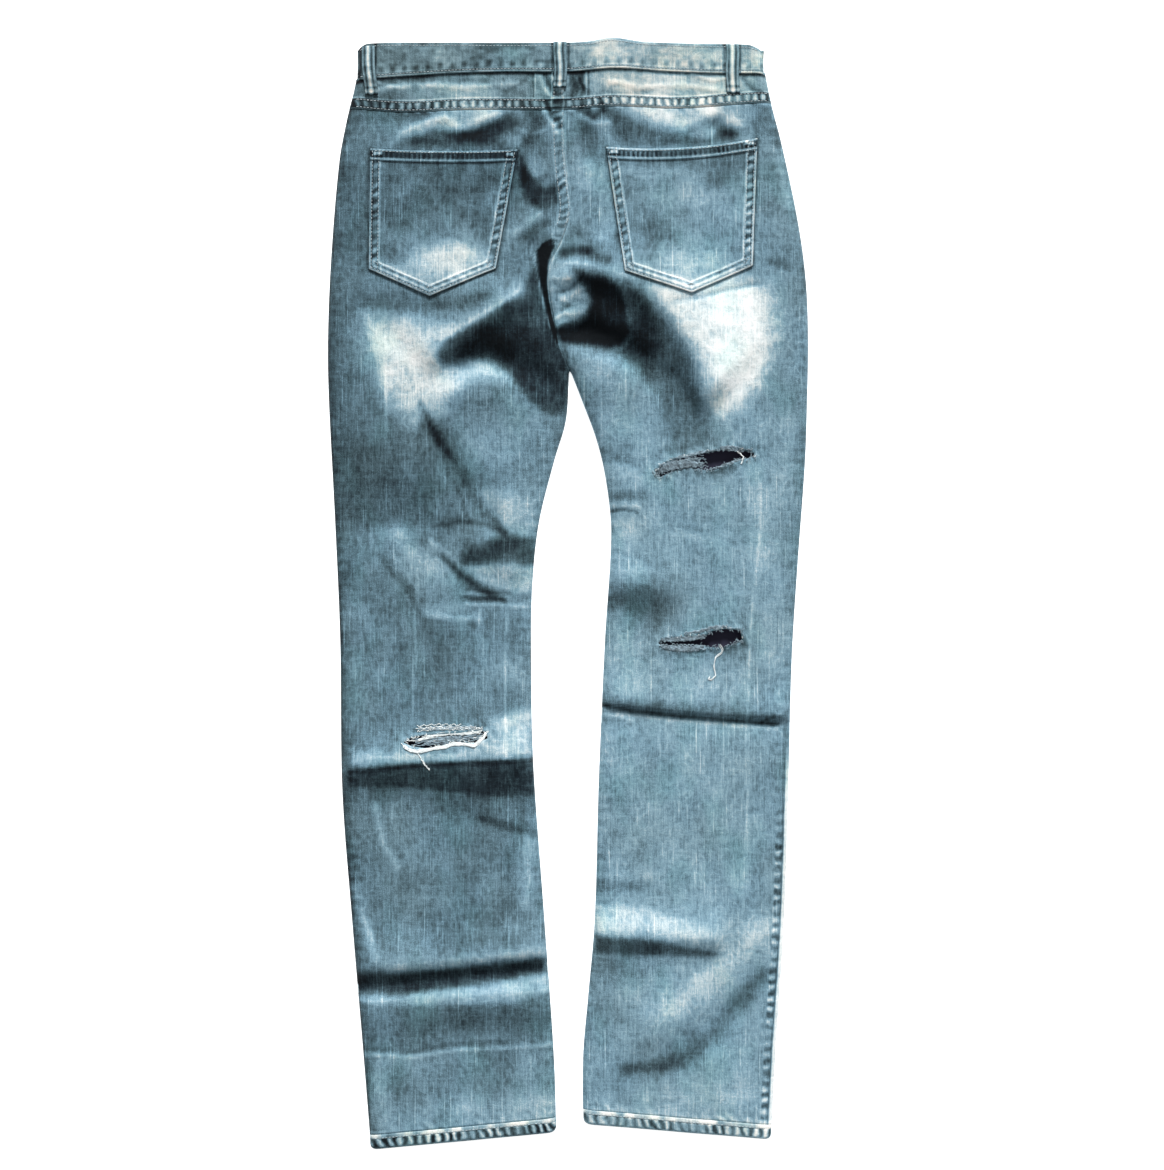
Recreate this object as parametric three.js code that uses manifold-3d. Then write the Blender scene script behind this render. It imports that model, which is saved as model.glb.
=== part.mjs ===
// A pair of ripped slim jeans, laid face down and flat, with the back uppermost.
// Millimetres, +Z up. The origin is on the surface that they lie on, under the middle of the garment.
// +Y runs from the hems to the waistband and +X to the wearer's right side.
import * as THREE from "three";
import Module from "manifold-3d";
import { mergeVertices } from "three/addons/utils/BufferGeometryUtils.js";

const wasm = await Module();
wasm.setup();

// Cloth and how it lies.
const CLOTH = 1.2; // one layer of denim
const DOUBLED = 2.4; // waistband and hems, which are folded double
const SEAM_GAP = 0.3; // between pieces that are sewn edge to edge
const LAY_GAP = 0.8; // between a panel and a piece sewn on top of it
const BAND_RISE = 1; // how far the waistband stands above the yokes
const FOLD_INSET = 4; // from a doubled edge's outside to its hollow, at the sides
const LEG_LOFT = 5; // how far the upper cloth stands above the lower along a leg
const SEAT_LOFT = 11; // and over the seat
const ROLL = 14; // width of the rounded side edge

// Sizes of the sewn parts.
const HEM_DEPTH = 14;
const LOOP_WIDTH = 12.6;
const LOOP_ARCH = 1.6; // how far a belt loop stands off the waistband in its middle
const BUTTON_RADIUS = 8.5;
const BUTTON_HEIGHT = 4;
const BUTTON = [30, 519]; // centre, in plan
const OVERLAP = 20; // how far each waistband end passes the button
const FRONT_CENTRE = 20; // x of the centre front seam at the waist
const ZIP = { width: 24, bottom: 352, top: 490 };
const FRONT_POCKET = { across: 96, down: 76 }; // half axes of the scooped front pocket mouth

// ---- curves ----

// A smooth curve through stations [at, value] with rising "at": cubic pieces, each with its slopes from its
// neighbours.
function through(stations) {
  const last = stations.length - 1;
  const slope = (i) => {
    const [before, after] = [stations[Math.max(i - 1, 0)], stations[Math.min(i + 1, last)]];
    return (after[1] - before[1]) / (after[0] - before[0]);
  };
  return (at) => {
    let i = 0;
    while (i < last - 1 && at > stations[i + 1][0]) i++;
    const [[a, va], [b, vb]] = [stations[i], stations[i + 1]];
    const t = THREE.MathUtils.clamp((at - a) / (b - a), 0, 1);
    const rest = 1 - t;
    return (
      rest * rest * (1 + 2 * t) * va +
      t * t * (3 - 2 * t) * vb +
      (b - a) * (t * rest * rest * slope(i) - t * t * rest * slope(i + 1))
    );
  };
}

const smooth = THREE.MathUtils.smoothstep;
const mix = THREE.MathUtils.lerp;

// ---- outline, as x for each height y ----

const CROTCH = 216;
const seatSeam = through([
  [216, 2],
  [242, -8],
  [290, -18],
  [317, -18],
  [344, -6],
  [372, 2],
  [402, -1],
  [436, -4],
  [520, -4],
]);
const outline = {
  left: {
    outer: through([
      [-540, -192],
      [-452, -199],
      [-316, -210.5],
      [-190, -220],
      [-45, -222],
      [72, -227],
      [189, -233],
      [247, -234],
      [325, -231],
      [421, -223],
      [460, -216],
      [501, -206.5],
      [540, -203.5],
    ]),
    inner: through([
      [-540, -11],
      [-452, -13.6],
      [-316, -23],
      [-160, -34],
      [-44, -36],
      [14, -34.5],
      [72, -28],
      [130, -13.6],
      [170, -2],
      [216, 1],
    ]),
  },
  right: {
    outer: through([
      [-540, 197.5],
      [-452, 201.8],
      [-316, 210.5],
      [-199, 214.4],
      [-63, 218],
      [33, 224],
      [130, 231],
      [189, 233],
      [247, 234],
      [305, 231.8],
      [363, 224],
      [441, 207.6],
      [478, 198],
      [530, 188],
      [540, 187],
    ]),
    inner: through([
      [-540, 15],
      [-452, 14.6],
      [-393, 19.4],
      [-316, 26],
      [-180, 30],
      [-44, 36],
      [60, 42],
      [111, 37],
      [150, 28],
      [189, 13.6],
      [216, 3],
    ]),
  },
};

// Seams that run across, as y for each x.
const waistTop = through([
  [-206, 529],
  [-194, 534],
  [-120, 535],
  [0, 535],
  [22, 536.5],
  [42, 540],
  [72, 536],
  [120, 534],
  [174, 533],
  [188, 529],
]);
const waistSeam = through([
  [-208, 499],
  [-160, 502.5],
  [-110, 505.5],
  [-60, 507],
  [0, 507],
  [46, 510.5],
  [92, 507.5],
  [140, 505.5],
  [200, 505.5],
]);
const yokeSeam = through([
  [-214, 472],
  [-162, 467.5],
  [-100, 470],
  [-4, 470],
  [44, 473.5],
  [108, 471.5],
  [160, 475],
  [202, 477.5],
]);
const hemEdge = {
  left: through([
    [-192, -540],
    [-11, -523],
  ]),
  right: through([
    [15, -515],
    [197, -530],
  ]),
};

// The side of the garment's own edge that a point belongs to, with the x of both its edges at that height.
function edgesAt(side, y) {
  const inner = y < CROTCH ? outline[side].inner(y) : seatSeam(y);
  return { outer: outline[side].outer(y), inner };
}

// ---- how the upper cloth lies ----

// Folds from one point to another, bowed to the left of that way. Each rises to a crest, or sinks where
// rise is negative, and dies away over the widths to its left and to its right. It sets in over the share
// "fade" of its length at each end.
const folds = [
  // Left leg: under the knee, on the calf and on the shin.
  { from: [-222, -166], to: [-34, -155], bow: 0, rise: 7.5, left: 26, right: 24, fade: 0 },
  { from: [-208, -361], to: [-18, -344], bow: 0, rise: 7, left: 24, right: 13, fade: 0 },
  { from: [-205, -384], to: [-18, -363], bow: 0, rise: -4, left: 9, right: 6, fade: 0 },
  { from: [-204, -398], to: [-16, -386], bow: 0, rise: 5, left: 9, right: 34, fade: 0 },
  // Left thigh: the diagonal from the seat to the inside of the knee.
  { from: [-137, 176], to: [-58, 50], bow: 0, rise: -4.5, left: 12, right: 16, fade: 0.25 },
  { from: [-112, 50], to: [-36, 18], bow: 0, rise: 3, left: 22, right: 12, fade: 0.2 },
  // Left seat: the crest under the pocket, the hollow beside the crotch and the thigh below it.
  { from: [-150, 218], to: [-42, 297], bow: 0, rise: 7, left: 46, right: 15, fade: 0.2 },
  { from: [-118, 214], to: [-8, 196], bow: 18, rise: -8, left: 16, right: 14, fade: 0.15 },
  { from: [-134, 200], to: [-28, 172], bow: 24, rise: 4, left: 12, right: 34, fade: 0.2 },
  // Right seat: the long crest round the hollow, the hollow itself and the thigh below it.
  { from: [-16, 315], to: [140, 169], bow: 47, rise: 11, left: 50, right: 16, fade: 0.12 },
  { from: [-8, 262], to: [125, 150], bow: 23, rise: -10, left: 14, right: 13, fade: 0.12 },
  { from: [2, 232], to: [76, 214], bow: 0, rise: 4, left: 8, right: 38, fade: 0.1 },
  // Right leg: above the knee, the pressed crease under it, the shin and the ankle.
  { from: [30, 16], to: [122, 5], bow: 0, rise: 5, left: 24, right: 18, fade: 0.2 },
  { from: [32, -102], to: [214, -117], bow: -3, rise: 4, left: 24, right: 5, fade: 0 },
  { from: [32, -112], to: [214, -127], bow: -3, rise: -3, left: 5, right: 16, fade: 0 },
  { from: [18, -330], to: [158, -334], bow: 0, rise: 7, left: 20, right: 15, fade: 0.12 },
  { from: [48, -463], to: [180, -386], bow: -10, rise: -4, left: 14, right: 14, fade: 0.25 },
];

function foldHeight(fold, x, y) {
  const [dx, dy] = [fold.to[0] - fold.from[0], fold.to[1] - fold.from[1]];
  const length = Math.hypot(dx, dy);
  const along = ((x - fold.from[0]) * dx + (y - fold.from[1]) * dy) / (length * length);
  if (along < -fold.fade - 0.2 || along > 1.2 + fold.fade) return 0;
  const t = THREE.MathUtils.clamp(along, 0, 1);
  const off = ((y - fold.from[1]) * dx - (x - fold.from[0]) * dy) / length - fold.bow * 4 * t * (1 - t);
  const width = off > 0 ? fold.left : fold.right;
  const ends = fold.fade ? smooth(along, 0, fold.fade) * smooth(1 - along, 0, fold.fade) : 1;
  return fold.rise * ends * Math.exp(-((off / width) ** 2));
}

// From 0 on the garment's edge to 1 where the side has rounded over, ROLL away from it.
function rolled(distance) {
  const left = 1 - THREE.MathUtils.clamp(distance / ROLL, 0, 1);
  return Math.sqrt(1 - left * left);
}

function fromEdge(side, x, y) {
  const { outer, inner } = edgesAt(side, y);
  const toInner = y < CROTCH ? Math.abs(x - inner) : Math.hypot(x - seatSeam(CROTCH), y - CROTCH);
  return Math.min(Math.abs(x - outer), toInner);
}

// Height of the upper cloth's outer face.
function clothTop(side, x, y) {
  const edge = 2 * CLOTH + SEAM_GAP;
  const loft = mix(LEG_LOFT, SEAT_LOFT, smooth(y, 130, 320));
  const lie = folds.reduce((sum, fold) => sum + foldHeight(fold, x, y), loft);
  const lying = 0.5 * (lie + Math.sqrt(lie * lie + 4));
  return edge + rolled(fromEdge(side, x, y)) * lying;
}

// Height of the lower cloth's outer face: flat on the surface, but lifted over the button and the front belt
// loops.
const FRONT_LOOPS = [-112, 104];
function frontLift(x, y) {
  const fromButton = Math.hypot(x - BUTTON[0], y - BUTTON[1]);
  const button = (BUTTON_HEIGHT + SEAM_GAP) * (1 - smooth(fromButton, BUTTON_RADIUS + 2, 52));
  const overLoop = (at) => 1 - smooth(Math.abs(x - at), 18, 46);
  const loops = (CLOTH + LAY_GAP) * smooth(y, 430, 462) * Math.max(...FRONT_LOOPS.map(overLoop));
  return Math.max(button, loops);
}

// ---- makers ----

// A wall of cloth: a box of across by along cells whose vertices go to place(u, v, face), where face is 1
// on the upper side and 0 on the lower.
function wall(across, along, place) {
  const geometry = new THREE.BoxGeometry(1, 1, 1, across, along, 1);
  const position = geometry.attributes.position;
  for (let i = 0; i < position.count; i++) {
    const [x, y, z] = place(position.getX(i) + 0.5, position.getY(i) + 0.5, position.getZ(i) > 0 ? 1 : 0);
    position.setXYZ(i, x, y, z);
  }
  return geometry;
}

function toSolid(geometry) {
  const bare = new THREE.BufferGeometry().setAttribute("position", geometry.attributes.position);
  bare.setIndex(geometry.index);
  const merged = mergeVertices(bare, 1e-3);
  const vertProperties = merged.attributes.position.array;
  const triVerts = merged.index ? new Uint32Array(merged.index.array) : null;
  return new wasm.Manifold(new wasm.Mesh({ numProp: 3, vertProperties, triVerts }));
}

function toGeometry(solid) {
  const mesh = solid.getMesh();
  const position = new THREE.BufferAttribute(mesh.vertProperties, 3);
  return new THREE.BufferGeometry().setAttribute("position", position).setIndex([...mesh.triVerts]);
}

// An upright prism over an outline in plan, taller than the garment.
function prism(outlinePoints) {
  const shape = new THREE.Shape(outlinePoints.map(([x, y]) => new THREE.Vector2(x, y)));
  return new THREE.ExtrudeGeometry(shape, { depth: 80, bevelEnabled: false }).translate(0, 0, -20);
}

// Columns crowd towards both sides of a panel, where the cloth turns down.
const CROWDING = 0.7;
const crowded = (u) => mix(u, 0.5 - 0.5 * Math.cos(Math.PI * u), CROWDING);

const SIDES = ["left", "right"];

// ---- upper cloth: back panels, yokes and back pockets ----

// Tears across the back panels, as the outline of the open part.
const rips = {
  left: [
    [
      [-160, -144],
      [-150, -138],
      [-122, -135],
      [-92, -134],
      [-78, -134],
      [-90, -140],
      [-120, -143],
      [-146, -147],
    ],
  ],
  right: [
    [
      [86, 116],
      [112, 126],
      [140, 137],
      [166, 139],
      [180, 138],
      [162, 128],
      [143, 121],
      [112, 117],
    ],
    [
      [88, -46],
      [112, -43],
      [138, -37],
      [158, -35],
      [168, -40],
      [158, -47],
      [138, -52],
      [110, -50],
    ],
  ],
};

// Columns of a back panel, and its rows from the hem to the crotch and from there to the top. Both panels'
// rows meet at the seat seam.
const BACK_COLUMNS = 10;
const LEG_ROWS = 35;
const SEAT_ROWS = 18;

// The same for a front panel, with the share of its rows that lie below the crotch.
const FRONT_COLUMNS = 8;
const FRONT_ROWS = 22;
const FRONT_LEG_SHARE = 0.6;

// Height at which the column that runs along columnX crosses a seam.
function crossing(seam, columnX) {
  let y = seam(columnX(0));
  for (let i = 0; i < 5; i++) y = seam(columnX(y));
  return y;
}

// Plan of a panel between a hem and a seam across its top, from u = 0 at the outer edge to 1 at the inner.
// innerAt gives the inner edge for each height.
function panelPlan(side, u, v, legShare, topSeam, innerAt) {
  const columnX = (y) => {
    const outer = outline[side].outer(y);
    return mix(outer, innerAt(y) + (Math.sign(outer) * SEAM_GAP) / 2, u);
  };
  const bottom = crossing(hemEdge[side], columnX) + HEM_DEPTH + SEAM_GAP;
  const top = crossing(topSeam, columnX) - SEAM_GAP;
  const onLeg = v < legShare;
  const y = onLeg ? mix(bottom, CROTCH, v / legShare) : mix(CROTCH, top, (v - legShare) / (1 - legShare));
  return [columnX(y), y];
}

function backPanel(side) {
  const legShare = LEG_ROWS / (LEG_ROWS + SEAT_ROWS);
  const place = (u, v, face) => {
    const [x, y] = panelPlan(side, crowded(u), v, legShare, yokeSeam, (at) => edgesAt(side, at).inner);
    return [x, y, clothTop(side, x, y) - (1 - face) * CLOTH];
  };
  const cloth = faceOut(wall(BACK_COLUMNS, LEG_ROWS + SEAT_ROWS, place));
  return rips[side].reduce((torn, rip) => torn.subtract(toSolid(prism(rip))), cloth);
}

// A wall made from the outer edge inwards is inside out on one of the two sides, so it is turned.
function faceOut(geometry) {
  const solid = toSolid(geometry);
  if (solid.volume() > 0) return solid;
  const turned = geometry.index.array;
  for (let i = 0; i < turned.length; i += 3) [turned[i + 1], turned[i + 2]] = [turned[i + 2], turned[i + 1]];
  return toSolid(geometry);
}

function yoke(side) {
  const place = (u, v, face) => {
    const columnX = (y) => {
      const outer = outline[side].outer(y);
      return mix(outer, seatSeam(y) + (Math.sign(outer) * SEAM_GAP) / 2, crowded(u));
    };
    const y = mix(crossing(yokeSeam, columnX), crossing(waistSeam, columnX) - SEAM_GAP, v);
    const x = columnX(y);
    return [x, y, clothTop(side, x, y) - (1 - face) * CLOTH];
  };
  return faceOut(wall(12, 2, place));
}

// Back pockets: the mouth's ends and its sag, the lower corners and the point.
const backPockets = {
  left: {
    mouth: [[-191.5, 432], [-49, 431]],
    sag: 2,
    lower: [[-193, 315.5], [-70, 315.5]],
    point: [-134, 289],
  },
  right: {
    mouth: [[37, 433.5], [183.5, 442]],
    sag: 5,
    lower: [[55, 312.5], [179, 318.5]],
    point: [119.5, 291.5],
  },
};

// Where a pocket's own u, across, and v, up, lie in plan.
function onPocket({ mouth, sag, lower, point }, u, v) {
  const pointU = (point[0] - lower[0][0]) / (lower[1][0] - lower[0][0]);
  const bottomX = mix(lower[0][0], lower[1][0], u);
  const [fromLeft, fromRight] = [u / pointU, (1 - u) / (1 - pointU)];
  const bottomY = u < pointU ? mix(lower[0][1], point[1], fromLeft) : mix(lower[1][1], point[1], fromRight);
  const topX = mix(mouth[0][0], mouth[1][0], u);
  const topY = mix(mouth[0][1], mouth[1][1], u) - sag * 4 * u * (1 - u);
  return [mix(bottomX, topX, v), mix(bottomY, topY, v)];
}

function backPocket(side) {
  return toSolid(
    wall(10, 9, (u, v, face) => {
      const [x, y] = onPocket(backPockets[side], u, v);
      return [x, y, clothTop(side, x, y) + LAY_GAP + face * CLOTH];
    }),
  );
}

// ---- lower cloth: front panels with their scooped pocket mouths ----

// The centre front seam runs straight up from the crotch to the fly.
const frontSeam = (y) => mix(seatSeam(CROTCH), FRONT_CENTRE, smooth(y, CROTCH, 330));

function frontWall(side) {
  const place = (u, v, face) => {
    const innerAt = (at) => (at < CROTCH ? outline[side].inner(at) : frontSeam(at));
    const towardsFly = 1 - (1 - u) ** 1.5;
    const [x, y] = panelPlan(side, towardsFly, v, FRONT_LEG_SHARE, waistSeam, innerAt);
    return [x, y, frontLift(x, y) + face * CLOTH];
  };
  return faceOut(wall(FRONT_COLUMNS, FRONT_ROWS, place));
}

// The pocket mouth is a quarter of an ellipse round the corner between side seam and waistband.
function scoop(side, grow) {
  const corner = [outline[side].outer(500), 502];
  const [sides, middleZ] = [40, 10];
  const ellipse = new THREE.CylinderGeometry(1, 1, 80, sides);
  ellipse.rotateX(Math.PI / 2).scale(FRONT_POCKET.across + grow, FRONT_POCKET.down + grow, 1);
  return toSolid(ellipse.translate(...corner, middleZ));
}

const frontPanel = (side) => frontWall(side).subtract(scoop(side, 0));
const pocketFacing = (side) => frontWall(side).intersect(scoop(side, -SEAM_GAP));

// ---- waistband, hems, loops, zip and button ----

// The waistband is one strip. It starts at the button end, inside, and runs under the body to the wearer's
// right side, over the top of the back to the left side, and back underneath to the buttonhole end,
// outside. BAND_CELLS is how many cells each of the three runs has, and BAND_MIDDLE the height at which
// its width is taken.
const BAND_CELLS = [14, 34, 14];
const BAND_MIDDLE = 517;
function bandPoint(share, v, face) {
  const inset = (1 - face) * FOLD_INSET;
  const right = outline.right.outer(BAND_MIDDLE) - inset;
  const left = outline.left.outer(BAND_MIDDLE) + inset;
  const ends = [BUTTON[0] - OVERLAP, right, left, BUTTON[0] + OVERLAP];
  const cells = share * BAND_CELLS.reduce((sum, count) => sum + count);
  const [first, second] = [BAND_CELLS[0], BAND_CELLS[0] + BAND_CELLS[1]];
  const onTop = cells > first + 0.01 && cells < second - 0.01;
  const run = cells < first - 0.01 ? 0 : cells < second + 0.01 ? 1 : 2;
  const t = (cells - [0, first, second][run]) / BAND_CELLS[run];
  const x = mix(ends[run], ends[run + 1], run === 1 ? crowded(t) : t);
  const y = mix(waistSeam(x), waistTop(x), v);
  const side = x < seatSeam(500) ? "left" : "right";
  if (onTop) return [x, y, clothTop(side, x, y) + BAND_RISE - (1 - face) * DOUBLED];
  if (run === 1) return [x, y, face ? DOUBLED / 2 : DOUBLED + SEAM_GAP];
  const inside = run === 0 ? (DOUBLED + SEAM_GAP) * (1 - smooth(x, ends[3] + 2, ends[3] + 40)) : 0;
  return [x, y, frontLift(x, y) + inside + (1 - face) * DOUBLED];
}

// A hem is a flattened tube round the leg's opening, made from a turned square ring.
function hem(side) {
  const profile = [
    [2, 0],
    [2, 1],
    [1, 1],
    [1, 0],
    [2, 0],
  ].map(([r, h]) => new THREE.Vector2(r, h));
  const geometry = new THREE.LatheGeometry(profile, 28);
  const position = geometry.attributes.position;
  const [low, high] = [outline[side].outer(-530), outline[side].inner(-530)].sort((p, q) => p - q);
  for (let i = 0; i < position.count; i++) {
    const [px, h, pz] = [position.getX(i), position.getY(i), position.getZ(i)];
    const outside = Math.hypot(px, pz) > 1.5;
    const inset = outside ? 0 : FOLD_INSET;
    const x = mix(low + inset, high - inset, 0.5 + (0.5 * px) / Math.hypot(px, pz));
    const y = hemEdge[side](x) + h * HEM_DEPTH;
    const onTop = clothTop(side, x, hemEdge[side](x) + HEM_DEPTH) - (outside ? 0 : DOUBLED);
    const below = outside ? 0 : DOUBLED;
    const rim = outside ? DOUBLED / 2 : DOUBLED + SEAM_GAP;
    position.setXYZ(i, x, y, Math.abs(pz) < 1e-6 ? rim : pz > 0 ? onTop : below);
  }
  return faceOut(geometry);
}

// Belt loops, by the middle of the upper and the lower end. They lie on the waistband and reach onto the
// yoke.
const backLoops = {
  left: [[-194, 531], [-190.5, 484]],
  centre: [[-7.5, 535], [-7.5, 491]],
  right: [[159, 533], [160, 485.5]],
};

function backLoop(name) {
  const [upper, lower] = backLoops[name];
  const place = (u, v, face) => {
    const middle = mix(lower[0], upper[0], v);
    const x = middle + (u - 0.5) * LOOP_WIDTH;
    const y = mix(lower[1], upper[1], v);
    const side = middle < seatSeam(500) ? "left" : "right";
    const bandZ = clothTop(side, x, y) + BAND_RISE * smooth(y, waistSeam(x) - 8, waistSeam(x) + 1);
    const arch = LOOP_ARCH * Math.sin(Math.PI * v) ** 0.5;
    return [x, y, bandZ + LAY_GAP + arch + face * CLOTH];
  };
  return toSolid(wall(2, 8, place));
}

function frontLoop(at) {
  const upper = waistTop(at) - 1;
  const length = 46;
  const place = (u, v, face) => [at + (u - 0.5) * LOOP_WIDTH, upper - length * (1 - v), face * CLOTH];
  return toSolid(wall(2, 4, place));
}

// The zip's tape lies behind the fly, on the inside of the front panels.
function zip() {
  return toSolid(
    wall(2, 8, (u, v, face) => {
      const x = FRONT_CENTRE + (u - 0.5) * ZIP.width;
      const y = mix(ZIP.bottom, ZIP.top, v);
      return [x, y, frontLift(x, y) + CLOTH + LAY_GAP + face * CLOTH];
    }),
  );
}

// A domed metal tack button, head down.
function button() {
  const profile = [
    [0, 0],
    [BUTTON_RADIUS - 2.5, 0],
    [BUTTON_RADIUS, 1.2],
    [BUTTON_RADIUS, 2.2],
    [BUTTON_RADIUS - 1.5, 3],
    [3.2, 3],
    [3.2, BUTTON_HEIGHT],
    [0, BUTTON_HEIGHT],
  ].map(([r, h]) => new THREE.Vector2(r, h));
  const geometry = new THREE.LatheGeometry(profile, 20).rotateX(Math.PI / 2);
  return faceOut(geometry.translate(...BUTTON, 0));
}

// ---- the garment ----

const denim = new THREE.MeshStandardMaterial({ color: 0x6d8ea3, roughness: 0.92, metalness: 0 });
const brass = new THREE.MeshStandardMaterial({ color: 0x8a8378, roughness: 0.4, metalness: 0.9 });
const tape = new THREE.MeshStandardMaterial({ color: 0x39424c, roughness: 0.8, metalness: 0 });

const jeans = new THREE.Group();
function add(name, solid, material = denim) {
  const mesh = new THREE.Mesh(toGeometry(solid), material);
  mesh.name = name;
  jeans.add(mesh);
}

for (const side of SIDES) {
  add(`front_panel_${side}`, frontPanel(side));
  add(`pocket_facing_${side}`, pocketFacing(side));
  add(`back_panel_${side}`, backPanel(side));
  add(`yoke_${side}`, yoke(side));
  add(`back_pocket_${side}`, backPocket(side));
  add(`hem_${side}`, hem(side));
}
for (const name of Object.keys(backLoops)) add(`belt_loop_${name}_back`, backLoop(name));
SIDES.forEach((side, i) => add(`belt_loop_${side}_front`, frontLoop(FRONT_LOOPS[i])));
add("waistband", faceOut(wall(BAND_CELLS[0] + BAND_CELLS[1] + BAND_CELLS[2], 2, bandPoint)));
add("zip", zip(), tape);
add("button", button(), brass);

export default jeans;
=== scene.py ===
import bpy
import numpy as np
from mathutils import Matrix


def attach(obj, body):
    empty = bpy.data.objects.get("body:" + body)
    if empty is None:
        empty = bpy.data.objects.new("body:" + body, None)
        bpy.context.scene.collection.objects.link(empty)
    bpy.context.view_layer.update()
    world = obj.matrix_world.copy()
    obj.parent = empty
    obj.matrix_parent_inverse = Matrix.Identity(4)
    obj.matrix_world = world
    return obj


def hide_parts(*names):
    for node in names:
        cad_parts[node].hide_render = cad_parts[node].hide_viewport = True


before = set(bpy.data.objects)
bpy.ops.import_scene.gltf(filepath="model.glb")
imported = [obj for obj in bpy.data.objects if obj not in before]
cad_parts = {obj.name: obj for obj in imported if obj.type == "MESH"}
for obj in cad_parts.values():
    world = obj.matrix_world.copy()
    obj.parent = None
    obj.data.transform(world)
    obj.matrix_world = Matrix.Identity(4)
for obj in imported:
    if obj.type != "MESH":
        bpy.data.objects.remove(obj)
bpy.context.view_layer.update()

# ----------------------------------------
# Denim. Every piece is cut from one indigo twill, washed until the white weft shows: dark where it was folded
# or covered, nearly white where it rubbed. "fade" is how far a place has gone, from 0 to 1; on many pieces it
# also carries painted shade and painted highlight, darker where a fold, crease, hollow or edge lies in shade
# and paler where it faces the light.
TWILL = 0.0011  # from one diagonal rib to the next, in metres
DENIM_STEPS = [
    (0.0, (0.0012, 0.0030, 0.0048)),
    (0.14, (0.0090, 0.0180, 0.0260)),
    (0.26, (0.0310, 0.0560, 0.0690)),
    (0.38, (0.0640, 0.1150, 0.1440)),
    (0.50, (0.1250, 0.2190, 0.2800)),
    (0.62, (0.2050, 0.3400, 0.4250)),
    (0.72, (0.3500, 0.4750, 0.5350)),
    (0.84, (0.5900, 0.6700, 0.6850)),
    (1.0, (0.8300, 0.8650, 0.8700)),
]


class Wires:
    """Short ways to add nodes to a tree and join them."""

    def __init__(self, tree):
        self.tree = tree

    def add(self, kind, **settings):
        node = self.tree.nodes.new(kind)
        for name, value in settings.items():
            setattr(node, name, value)
        return node

    def join(self, source, socket):
        if isinstance(source, (int, float, tuple)):
            socket.default_value = source
        else:
            self.tree.links.new(source, socket)

    def math(self, operation, *inputs, clamp=False):
        node = self.add("ShaderNodeMath", operation=operation, use_clamp=clamp)
        for source, socket in zip(inputs, node.inputs):
            self.join(source, socket)
        return node.outputs[0]

    def weighted(self, *terms):
        """The sum of sockets, each times its weight."""
        total = None
        for source, weight in terms:
            product = self.math("MULTIPLY", source, weight)
            total = product if total is None else self.math("ADD", total, product)
        return total

    def noise(self, vector, scale, detail):
        """Noise from -0.5 to 0.5."""
        node = self.add("ShaderNodeTexNoise")
        self.join(vector, node.inputs["Vector"])
        node.inputs["Scale"].default_value = scale
        node.inputs["Detail"].default_value = detail
        return self.math("SUBTRACT", node.outputs["Fac"], 0.5)

    def streaks(self, vector, across, along, detail):
        """Noise of its own scale across and along the cloth, in 1/m."""
        node = self.add("ShaderNodeMapping")
        self.join(vector, node.inputs["Vector"])
        node.inputs["Scale"].default_value = (across, along, 1.0)
        return self.noise(node.outputs["Vector"], 1.0, detail)


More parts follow.
